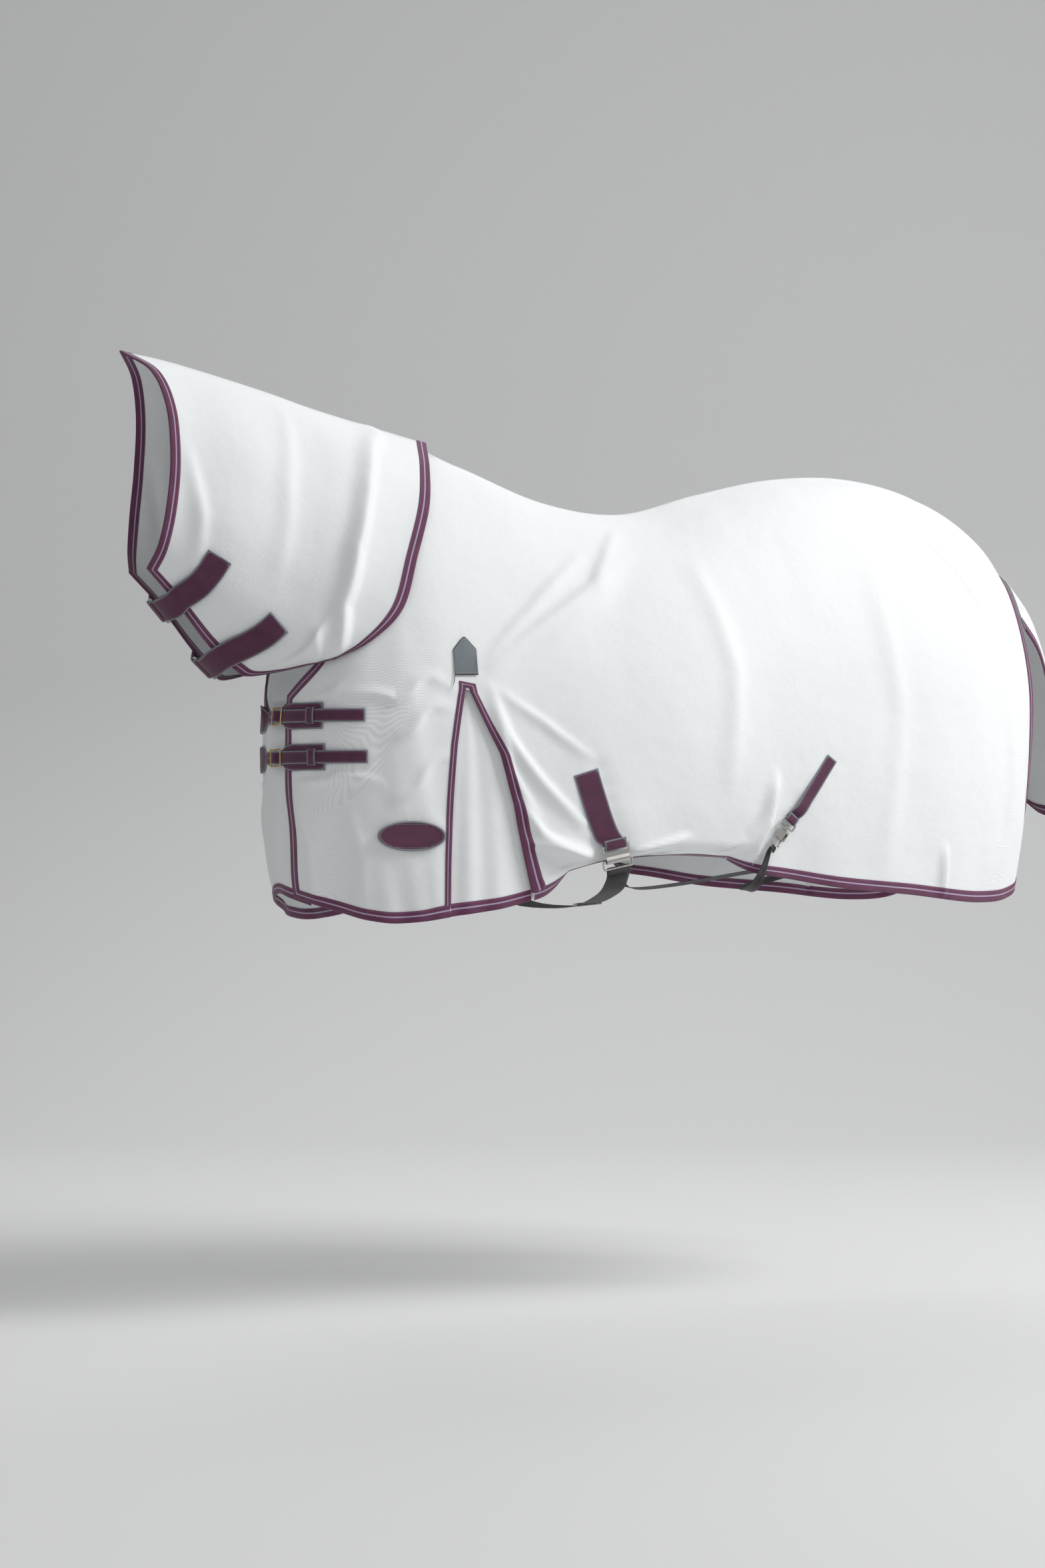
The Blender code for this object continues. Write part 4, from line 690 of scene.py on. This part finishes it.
def make_tape(name, cloth, walk, body, side, node):
    """Tape folded over an edge; walk lists (edge station, edge drop, inner station, drop)."""
    walk = np.asarray(walk, float)
    share, rise = TAPE_SECTION.T
    u = walk[:, :1] + (walk[:, 2:3] - walk[:, :1]) * share
    v = walk[:, 1:2] + (walk[:, 3:4] - walk[:, 1:2]) * share
    sections = cloth(u, v, np.broadcast_to(rise, u.shape), side)
    along = lengths_along(sections[:, 4:5], 0).repeat(len(share), 1)
    across = np.broadcast_to(np.where(rise > 0, 1, -1) * share * TAPE_WIDTH, along.shape)
    edge = np.stack([np.abs(across), along], 2)
    made = make_strip(name, sections, across, along, edge, body, plum_tape)
    in_place_of(made, node)


def inner_drop(form, u):
    """The share of the drop where the tape ends, below the top edge, at these stations."""
    steps = on_form(form, np.asarray(u, float)[:, None], np.linspace(0, 1, 13)[None])
    return TAPE_WIDTH / np.linalg.norm(np.diff(steps, axis=1), axis=2).sum(1)


NO_END = 99


def walk_sides(form, stations, drops, first, last):
    """Walk rows along an edge, with the inner line held inside both tapes at the corners."""
    stations, drops = np.broadcast_arrays(np.asarray(stations, float), np.asarray(drops, float))
    step = TAPE_WIDTH / station_step(form, stations, drops)
    down = inner_drop(form, stations)
    inner_u = np.clip(stations, first + step, last - step)
    return np.stack([stations, drops, inner_u, np.clip(drops, down, 1 - down)], 1)


def make_body_tapes(word, side):
    """The tapes on one half: neckline and front edge, rear edge, slit and hem."""
    top_edge, hem_edge = float(closure_edge(0.0, side)), float(closure_edge(1.0, side))
    neckline = walk_sides(TRUNK, np.linspace(5.92, top_edge, 150), 0, top_edge, NO_END)
    inside = top_edge + TAPE_WIDTH / station_step(TRUNK, top_edge, 0)
    neckline[:, 2] = np.maximum(neckline[:, 2], inside)
    drops = np.linspace(0, 1, 90)
    front = walk_sides(TRUNK, closure_edge(drops, side), drops, -NO_END, NO_END)
    front[:, 2] = front[:, 0] + TAPE_WIDTH / station_step(TRUNK, front[:, 0], drops)
    make_tape(f"front_tape_{word}", body_cloth, np.concatenate([neckline, front[1:]]), "sheet",
              side, f"front_binding_{word}")
    rear = walk_sides(TRUNK, float(TAIL_STATION), np.linspace(0, 1, 120), -NO_END, TAIL_STATION)
    rear[:, 3] = rear[:, 1]
    make_tape(f"rear_tape_{word}", body_cloth, rear, "sheet", side, f"rear_binding_{word}")

    down = np.linspace(0.985, SLIT_TOP, 70)
    front_u, rear_u = slit_sides(down)
    step = TAPE_WIDTH * 0.62 / station_step(TRUNK, front_u, down)
    legs = [np.stack([front_u, down, front_u - step, down], 1),
            np.stack([rear_u, down, rear_u + step, down], 1)[::-1]]
    top = inner_drop(TRUNK, [6.4])[0] * 0.5
    legs[0][-1, 3] -= top
    legs[1][0, 3] -= top
    make_tape(f"gusset_tape_{word}", body_cloth, np.concatenate(legs), "sheet", side,
              f"gusset_binding_{word}")

    for name, start, end, count, cloth in (
            ("front", hem_edge, SLIT_FRONT[-1], 120, body_cloth),
            ("gusset", SLIT_FRONT[-1] + 0.02, SLIT_REAR[-1] - 0.02, 44, gusset_cloth),
            ("rear", SLIT_REAR[-1], float(TAIL_STATION), 240, body_cloth)):
        stations = np.linspace(start, end, count)
        walk = np.stack([stations, np.ones(count), stations, 1 - inner_drop(TRUNK, stations)], 1)
        make_tape(f"hem_tape_{name}_{word}", cloth, walk, "sheet", side, f"hem_binding_{word}")


for word, side in SIDES:
    make_body_tapes(word, side)


# --- Neck cover ---------------------------------------------------------------------------
# Two halves of the same mesh joined along the crest. The cover flares over the shoulders into
# a skirt, and a long pleat runs down it where the neck turns.

NECK = [
    [(-.985, .000, .262), (-.944, .055, .222), (-.924, .088, .150), (-.922, .105, .055),
     (-.930, .108, -.030), (-.940, .092, -.100), (-.950, .052, -.145)],
    [(-.900, .000, .250), (-.876, .055, .205), (-.860, .092, .130), (-.855, .114, .030),
     (-.860, .120, -.060), (-.873, .100, -.150), (-.890, .048, -.208)],
    [(-.800, .000, .228), (-.780, .056, .180), (-.766, .098, .100), (-.765, .126, -.005),
     (-.776, .136, -.110), (-.800, .114, -.215), (-.828, .050, -.284)],
    [(-.690, .000, .201), (-.670, .060, .150), (-.656, .107, .060), (-.660, .145, -.050),
     (-.686, .158, -.165), (-.730, .136, -.270), (-.780, .060, -.328)],
    [(-.580, .000, .171), (-.565, .070, .115), (-.560, .128, .018), (-.575, .174, -.100),
     (-.610, .190, -.200), (-.668, .172, -.290), (-.748, .085, -.340)],
]
# The skirt's hem on the body, as (station, share of the drop), and its height above it.
SKIRT_HEM = ((6.54, 0), (6.40, 0.135), (6.22, 0.25), (5.85, 0.34), (5.10, 0.33), (4.05, 0.24),
             (3.10, 0.10))
SKIRT_LIFT = 0.011
CREST_LIFT = 0.016
NECK_FOLDS = (
    (0.0130, 0.022, 0.35, ((4.50, .030), (4.12, .362), (3.96, .512), (4.04, .688), (4.71, .900))),
    (0.0040, 0.010, 0.5, ((4.54, .038), (4.46, .150))),
    (0.0050, 0.013, 0.5, ((4.04, .930), (3.88, .812), (3.85, .740))),
    (0.0045, 0.013, 0.5, ((3.12, .950), (2.60, .900), (2.21, .880))),
    (0.0050, 0.014, 0.5, ((3.71, .762), (4.20, .850), (4.71, .962))),
    (0.0040, 0.018, 0.7, ((0.50, .450), (0.90, .650), (1.00, .860))),
    (0.0030, 0.020, 0.8, ((2.90, .150), (2.60, .420), (2.55, .700))),
    (0.0040, 0.018, 0.7, ((5.30, .120), (5.10, .350), (5.10, .600))),
    (0.0035, 0.015, 0.7, ((5.60, .300), (5.45, .500), (5.50, .700))),
)


def skirt_points():
    """The hem of the skirt, lying just above the body of the sheet."""
    points = []
    for u, v in SKIRT_HEM:
        normal = outward(TRUNK, u, v)
        if v == 0:
            normal = np.array([normal[0], 0, normal[2]]) / math.hypot(normal[0], normal[2])
        points.append(on_form(TRUNK, u, v) + normal * (SKIRT_LIFT if v else CREST_LIFT))
    points[0][1] = 0
    return points


COVER = np.array(NECK + [skirt_points()])


def neck_cloth(u, v, rise=0.0, side=-1):
    """Points on the outside of the draped neck cover."""
    u, v = np.broadcast_arrays(np.asarray(u, float), np.asarray(v, float))
    points = on_form(COVER, u, v)
    normal = outward(COVER, u, v)
    on_crest = v < 1e-6
    normal[on_crest, 1] = 0
    normal /= np.maximum(np.linalg.norm(normal, axis=-1, keepdims=True), 1e-9)
    slow = 0.0022 * np.sin(u * 3.3 + v * 4) * np.sin(math.pi * np.clip(v, 0, 1))
    near = np.clip((len(COVER) - 1 - u) / 0.25, 0, 1)
    fastened_here = 1 - 0.85 * np.exp(-((v - 0.9) / 0.14) ** 2) * (
        np.exp(-((u - 1.2) / 0.55) ** 2) + np.exp(-((u - 2.65) / 0.55) ** 2))
    lift = (fold_height(COVER, NECK_FOLDS, points) * (0.35 + 0.65 * near) + slow * near)
    points = points + normal * (lift * np.clip(fastened_here, 0, 1) + rise)[..., None]
    points[..., 1] = np.where(on_crest, 0.0004, points[..., 1]) * side
    return points


def make_neck(word, side):
    """Half of the neck cover, with its tapes."""
    points = neck_cloth(np.linspace(0, 5, 112)[:, None], np.linspace(0, 1, 84), side=side)
    made = panel(f"neck_cloth_{word}", points, "neck_cover", white_mesh)
    in_place_of(made, f"neck_{word}")
    front = walk_sides(COVER, 0.0, np.linspace(0, 1, 90), 0, NO_END)
    front[:, 3] = np.minimum(front[:, 1], 1 - inner_drop(COVER, [0.0])[0])
    throat = walk_sides(COVER, np.linspace(0, 4.93, 150), 1, 0, NO_END)
    throat[:, 2] = np.maximum(throat[:, 2], TAPE_WIDTH / station_step(COVER, 0.0, 1.0))
    make_tape(f"neck_front_tape_{word}", neck_cloth, np.concatenate([front, throat[1:]]),
              "neck_cover", side, f"neck_front_binding_{word}")
    hem = walk_sides(COVER, 5.0, np.linspace(0, 1, 120), -NO_END, 5)
    hem[:, 3] = hem[:, 1]
    make_tape(f"neck_hem_tape_{word}", neck_cloth, hem, "neck_cover", side,
              f"neck_hem_binding_{word}")


for word, side in SIDES:
    make_neck(word, side)


# --- Tail flap ----------------------------------------------------------------------------
# One rounded piece of the mesh over the top of the tail, sewn on along its top edge.

TAIL = np.array([
    [(.922, .000, -.070), (.934, .058, -.112), (.945, .102, -.205)],
    [(.985, .000, -.150), (.982, .066, -.180), (.972, .118, -.262)],
    [(1.034, .000, -.262), (1.020, .074, -.290), (.992, .122, -.345)],
    [(1.058, .000, -.385), (1.044, .078, -.405), (1.010, .114, -.428)],
    [(1.068, .000, -.500), (1.058, .066, -.505), (1.034, .092, -.505)],
    [(1.066, .000, -.590), (1.062, .036, -.578), (1.052, .056, -.562)],
])


def tail_cloth(u, v, rise=0.0, side=1):
    """Points on the flap; shares run from -1 at its left edge to 1 at its right."""
    u, v = np.broadcast_arrays(np.asarray(u, float), np.asarray(v, float))
    points, normal = on_form(TAIL, u, np.abs(v)), outward(TAIL, u, np.abs(v))
    wave = 0.003 * np.sin(v * 6 + u * 0.6) * np.clip(u / 3, 0, 1) * np.cos(v * math.pi / 2) ** 2
    middle = np.exp(-(v / 0.12) ** 2)[..., None] * (0, 1, 0)
    normal = normal * (1 - middle)
    normal /= np.linalg.norm(normal, axis=-1, keepdims=True)
    points = points + normal * (wave + rise)[..., None]
    points[..., 1] *= np.sign(v)
    return points


flap_points = tail_cloth(np.linspace(0, 5, 84)[:, None], np.linspace(-1, 1, 64))
in_place_of(panel("tail_flap_cloth", flap_points, "tail_flap", white_mesh), "tail_flap")

down = inner_drop(TAIL, [2.0])[0]
low = 5 - TAPE_WIDTH / station_step(TAIL, 4.8, 0.0)
flap_walk = [(u, -1, min(u, low), down - 1) for u in np.linspace(0, 5, 80)]
flap_walk += [(5, v, low, np.clip(v, down - 1, 1 - down)) for v in np.linspace(-1, 1, 60)[1:]]
flap_walk += [(u, 1, min(u, low), 1 - down) for u in np.linspace(5, 0, 80)[1:]]
make_tape("tail_flap_tape", tail_cloth, flap_walk, "tail_flap", 1, "tail_flap_binding")


# --- Straps -------------------------------------------------------------------------------
# Plum webbing with grey selvedges, 50 mm wide at the throat and the belly and 25 mm at the
# chest and the flanks. The belly strap is nearly black. Each strap is sewn with a boxed seam.

STRAP_PLUM = (0.120, 0.016, 0.068)
STRAP_DARK = (0.045, 0.006, 0.026)
GREY_EDGE = (0.185, 0.20, 0.235)
plum_webbing = make_band("plum webbing", STRAP_PLUM, STRAP_DARK, GREY_EDGE, 0.0, 0.0026,
                         0.0045, (0.17, 0.05, 0.11), 0.0017, 0.6)
black_webbing = make_band("black webbing", (0.022, 0.017, 0.020), (0.008, 0.007, 0.008),
                          (0.030, 0.024, 0.028), 0.0, 0.002, 0.005, (0.05, 0.045, 0.05),
                          0.0017, 0.6)
STATION = 0.004
# Across a strap: share of its width, and how far its two faces are drawn together there.
SELVEDGE = ((0.0, 1.0), (0.012, 0.45), (0.04, 0.12), (0.2, 0), (0.4, 0), (0.6, 0), (0.8, 0),
            (0.96, 0.12), (0.988, 0.45), (1.0, 1.0))
SHARPEST_SEAM = 1.13


def evened(rail, count):
    """A line resampled to this many points at even distances."""
    steps = np.concatenate([[0], np.linalg.norm(np.diff(rail, axis=0), axis=1).cumsum()])
    wanted = np.linspace(0, steps[-1], count)
    return np.stack([np.interp(wanted, steps, rail[:, k]) for k in range(3)], 1)


def long_edges(name):
    """The four long edges of a strap's solid, all from the same end, in ring order."""
    work = bmesh.new()
    work.from_mesh(nodes[name].data)
    bmesh.ops.remove_doubles(work, verts=work.verts, dist=1e-5)
    links = {}
    for edge in work.edges:
        if len(edge.link_faces) == 2 and edge.calc_face_angle() > SHARPEST_SEAM:
            for a, b in (edge.verts, reversed(edge.verts)):
                links.setdefault(a.index, []).append(b.index)
    work.verts.ensure_lookup_table()
    place = {v.index: np.array(v.co) for v in work.verts}
    work.free()
    corners = {a for a, others in links.items() if len(others) == 3}
    chains = []
    for start in sorted(corners):
        for then in links[start]:
            chain = [start, then]
            while chain[-1] not in corners and len(links[chain[-1]]) == 2:
                onward = [k for k in links[chain[-1]] if k != chain[-2]]
                if not onward:
                    break
                chain.append(onward[0])
            if chain[-1] in corners and chain[0] < chain[-1]:
                chains.append(np.array([place[k] for k in chain]))
    chains.sort(key=lambda c: -np.linalg.norm(np.diff(c, axis=0), axis=1).sum())
    rails = chains[:4]
    ends = rails[0][[0, -1]]
    for k in range(1, 4):
        same, turned = (np.linalg.norm(rails[k][pair] - ends, axis=1).sum()
                        for pair in ([0, -1], [-1, 0]))
        if turned < same:
            rails[k] = rails[k][::-1]
    first = evened(rails[0], 9)
    gaps = [np.linalg.norm(evened(rail, 9) - first, axis=1).mean() for rail in rails[1:]]
    near, wide, far = (1 + k for k in np.argsort(gaps))
    return [rails[0], rails[wide], rails[far], rails[near]]


def smoothed(rails):
    """Rails (stations, 4, 3) with smooth stations between, a few millimetres apart."""
    gap = np.maximum(np.linalg.norm(np.diff(rails, axis=0), axis=2).mean(1), 1e-6)
    slope = np.diff(rails, axis=0) / gap[:, None, None]
    inner = (slope[:-1] * gap[1:, None, None] + slope[1:] * gap[:-1, None, None])
    inner /= (gap[1:] + gap[:-1])[:, None, None]
    slopes = np.concatenate([slope[:1], inner, slope[-1:]])
    rows = []
    for k, length in enumerate(gap):
        parts = max(int(math.ceil(length / STATION)), 1)
        for t in np.arange(parts) / parts:
            share = 3 * t * t - 2 * t ** 3
            rows.append((1 - share) * rails[k] + share * rails[k + 1]
                        + (t ** 3 - 2 * t * t + t) * length * slopes[k]
                        + (t ** 3 - t * t) * length * slopes[k + 1])
    rows.append(rails[-1])
    return np.array(rows)


def make_strap(name, node, body, material, longer=0.0):
    """A strap with rounded selvedges in the place of its CAD solid; its wide end may be longer."""
    lines = long_edges(node)
    count = len(lines[0])
    if any(len(line) != count for line in lines):
        lines = [evened(line, 40) for line in lines]
    rails = np.stack(lines, 1)
    if longer:
        if np.linalg.norm(rails[0, 1] - rails[0, 0]) < np.linalg.norm(rails[-1, 1] - rails[-1, 0]):
            rails = rails[::-1]
        ahead = (rails[0] - rails[1]).mean(0)
        rails = rails.copy()
        rails[0] += ahead / np.linalg.norm(ahead) * longer
    strap_along(name, node, smoothed(rails), body, material)


def strap_along(name, node, rails, body, material):
    """A strap between four rails, which run along its four long edges."""
    a, b, c, d = (rails[:, k] for k in range(4))
    width = np.linalg.norm(b - a, axis=1)
    lower = [a + (b - a) * share for share, pinch in SELVEDGE]
    upper = [d + (c - d) * share for share, pinch in SELVEDGE]
    ring, places = [], []
    for face, other, walk in ((lower, upper, range(10)), (upper, lower, range(8, 0, -1))):
        for k in walk:
            share, pinch = SELVEDGE[k]
            ring.append(face[k] + (other[k] - face[k]) * pinch / 2)
            places.append(share)
    sections = np.stack(ring, 1)
    centre = (a + b + c + d) / 4
    steps = np.concatenate([[0], np.linalg.norm(np.diff(centre, axis=0), axis=1).cumsum()])
    places = np.array(places)
    across = places[None] * width[:, None]
    along = steps[:, None].repeat(len(places), 1)
    side_gap = np.minimum(places, 1 - places)[None] * width[:, None]
    end_gap = np.minimum(along, steps[-1] - along)
    edge = np.stack([np.minimum(side_gap, end_gap), end_gap], 2)
    made = make_strip(name, sections, across, along, edge, body, material, closed=True)
    in_place_of(made, node)


for level in ("upper", "lower"):
    for name, node, body in (("chest_{}_webbing", "chest_{}_strap", "sheet"),
                             ("chest_{}_fold", "chest_{}_base", "sheet"),
                             ("throat_{}_webbing", "throat_{}_strap", "neck_cover"),
                             ("throat_{}_anchor", "throat_{}_tab", "neck_cover"),
                             ("throat_{}_lid", "throat_{}_flap", "throat_{}_flap")):
        make_strap(name.format(level), node.format(level), body.format(level), plum_webbing)
make_strap("belly_strap_upper", "surcingle_upper_strap", "sheet", plum_webbing)
make_strap("belly_strap_long", "surcingle_belly_strap", "sheet", black_webbing)
for word in ("left", "right"):
    make_strap(f"flank_strap_{word}", f"leg_strap_upper_{word}", "sheet", plum_webbing)
    make_strap(f"thigh_strap_{word}", f"leg_strap_lower_{word}", "sheet", black_webbing)


# --- Sewn-on pieces -----------------------------------------------------------------------
# Coated grey fabric over the top of each gusset, a woven oval badge on the left shoulder, the
# webbing keepers on the chest straps, and two pads of touch tape at the withers.

grey_patch = make_band("grey patch", (0.25, 0.29, 0.31), (0.19, 0.22, 0.24), (0.055, 0.05, 0.07),
                       0.0, 0.0024, 0.0042, (0.40, 0.43, 0.45), 0.0007, 0.42)
badge_cloth = make_band("badge cloth", (0.150, 0.022, 0.080), (0.075, 0.010, 0.040),
                        (0.23, 0.25, 0.28), 0.0018, 0.0020, 0.0062, (0.30, 0.32, 0.35), 0.0008,
                        0.5)
touch_tape = make_band("touch tape", (0.10, 0.10, 0.11), (0.03, 0.03, 0.035), (0.05, 0.05, 0.055),
                       0.0, 0.001, 0.003, (0.07, 0.07, 0.075), 0.0012, 0.9)
PATCH_LONGER = 0.027
for word in ("left", "right"):
    make_strap(f"gusset_patch_{word}_cloth", f"gusset_patch_{word}", "sheet", grey_patch,
               PATCH_LONGER)


def principal(node):
    """The middle of a CAD solid and its three directions with half sizes, longest first."""
    points = np.array([vertex.co[:] for vertex in nodes[node].data.vertices])
    axes = np.linalg.svd(points - points.mean(0), full_matrices=False)[2]
    spans = [(points @ axis) for axis in axes]
    middle = sum(axis * (span.max() + span.min()) / 2 for axis, span in zip(axes, spans))
    return middle, axes, [float(np.ptp(span)) / 2 for span in spans]


def make_keeper(level):
    """A loop of webbing over the strap, with rounded corners."""
    node = f"chest_{level}_keeper"
    middle, (across, along, out), (half_across, half_along, half_out) = principal(node)
    if out @ (-1, -1, 0) < 0:
        out = -out
    thin, corner = 0.0008, 0.0022
    reach, low, top = half_across - thin, -half_out, half_out - thin
    path = [(-reach, low, -1, 0)]
    for start, turn_at in ((180, corner - reach), (90, reach - corner)):
        for k in range(6):
            angle = math.radians(start - 18 * k)
            ahead, up = math.cos(angle), math.sin(angle)
            path.append((turn_at + corner * ahead, top - corner + corner * up, ahead, up))
    path.append((reach, low, 1, 0))
    rails = []
    for k, n, dk, dn in path:
        point = middle + across * k + out * n
        face = (across * dk + out * dn) * thin
        rails.append((point - along * half_along - face, point + along * half_along - face,
                      point + along * half_along + face, point - along * half_along + face))
    strap_along(f"{node}_webbing", node, smoothed(np.array(rails)), "sheet", plum_webbing)


for level in ("upper", "lower"):
    make_keeper(level)


def make_badge():
    """A flat oval of woven cloth with a corded rim."""
    middle, (along, up, out), (half_long, half_high, half_thick) = principal("badge")
    if out[1] > 0:
        out = -out
    rings = ((0.001, 0.0007), (0.25, 0.0007), (0.5, 0.0006), (0.72, 0.0005), (0.84, 0.0003),
             (0.88, 0.0003), (0.90, 0.0009), (0.93, 0.0013), (0.96, 0.0012), (0.985, 0.0006),
             (1.0, -0.0004), (1.0, -2 * half_thick))
    angles = np.linspace(0, 2 * math.pi, 97)
    sections, across, rim, turned = [], [], [], []
    for angle in angles:
        spoke = along * half_long * math.cos(angle) + up * half_high * math.sin(angle)
        sections.append([middle + spoke * r + out * (half_thick + h) for r, h in rings])
        across.append([half_long * math.cos(angle) * r for r, h in rings])
        turned.append([half_high * math.sin(angle) * r for r, h in rings])
        rim.append([np.linalg.norm(spoke) * (1 - r) for r, h in rings])
    edge = np.stack([np.array(rim), np.array(across)], 2)
    made = make_strip("badge_oval", np.array(sections), np.array(across), np.array(turned), edge,
                      "sheet", badge_cloth)
    in_place_of(made, "badge")


make_badge()
for part, body, height in (("body", "sheet", 0.0031), ("neck", "neck_cover", 0.0049)):
    u, v = np.meshgrid(np.linspace(6.32, 6.53, 12), np.linspace(-0.05, 0.05, 17), indexing="ij")
    pad_points = on_form(TRUNK, u, np.abs(v))
    pad_points[..., 1] *= np.sign(v)
    pad_points[..., 2] += height
    pad = panel(f"withers_pad_{part}_tape", pad_points, body, touch_tape, thick=0.0015)
    in_place_of(pad, f"withers_pad_{part}")


# --- Metal fittings -----------------------------------------------------------------------
# Nickel-plated steel loops, hook, slider and trigger snaps, and brass buckles. They are cast
# or bent from wire, polished by wear on their high places and dull in the corners.


def make_metal(name, bright, dull, rough):
    """Metal with uneven polish, and a grain too fine to see as relief."""
    made, tree, finish = new_material(name)
    place = part_of(tree, "ShaderNodeTexCoord").outputs["Object"]
    tone = group_in(tree, WEAR, Scale=160.0)
    tree.links.new(place, tone.inputs["Place"])
    fine = group_in(tree, WEAR, Scale=1400.0)
    tree.links.new(place, fine.inputs["Place"])
    tree.links.new(mixed(tree, tone.outputs["Tone"], bright, dull), finish["Base Color"])
    finish["Metallic"].default_value = 1.0
    rougher = maths(tree, "MULTIPLY_ADD", tone.outputs["Tone"], 0.25, rough)
    tree.links.new(rougher, finish["Roughness"])
    tree.links.new(bumped(tree, fine.outputs["Tone"], 0.00008), finish["Normal"])
    return made


nickel = make_metal("worn nickel", (0.66, 0.65, 0.62), (0.36, 0.35, 0.33), 0.22)
brass = make_metal("worn brass", (0.80, 0.60, 0.28), (0.44, 0.30, 0.12), 0.24)
METAL_NODES = {"surcingle_hook": nickel, "surcingle_eye": nickel, "surcingle_slider": nickel}
for level in ("upper", "lower"):
    METAL_NODES[f"chest_{level}_buckle"] = METAL_NODES[f"chest_{level}_tongue"] = brass
    METAL_NODES[f"throat_{level}_loop"] = nickel
for word in ("left", "right"):
    for fitting in ("leg_swivel", "leg_snap", "leg_snap_bolt"):
        METAL_NODES[f"{fitting}_{word}"] = nickel
for name, metal in METAL_NODES.items():
    fitting = nodes[name]
    for slot in fitting.material_slots:
        slot.material = metal
    joined = fitting.modifiers.new("joined", "WELD")
    joined.merge_threshold = 0.00001
    eased = fitting.modifiers.new("eased edges", "BEVEL")
    eased.width = 0.0003
    eased.segments = 2
    eased.limit_method = "ANGLE"
    eased.angle_limit = math.radians(35)
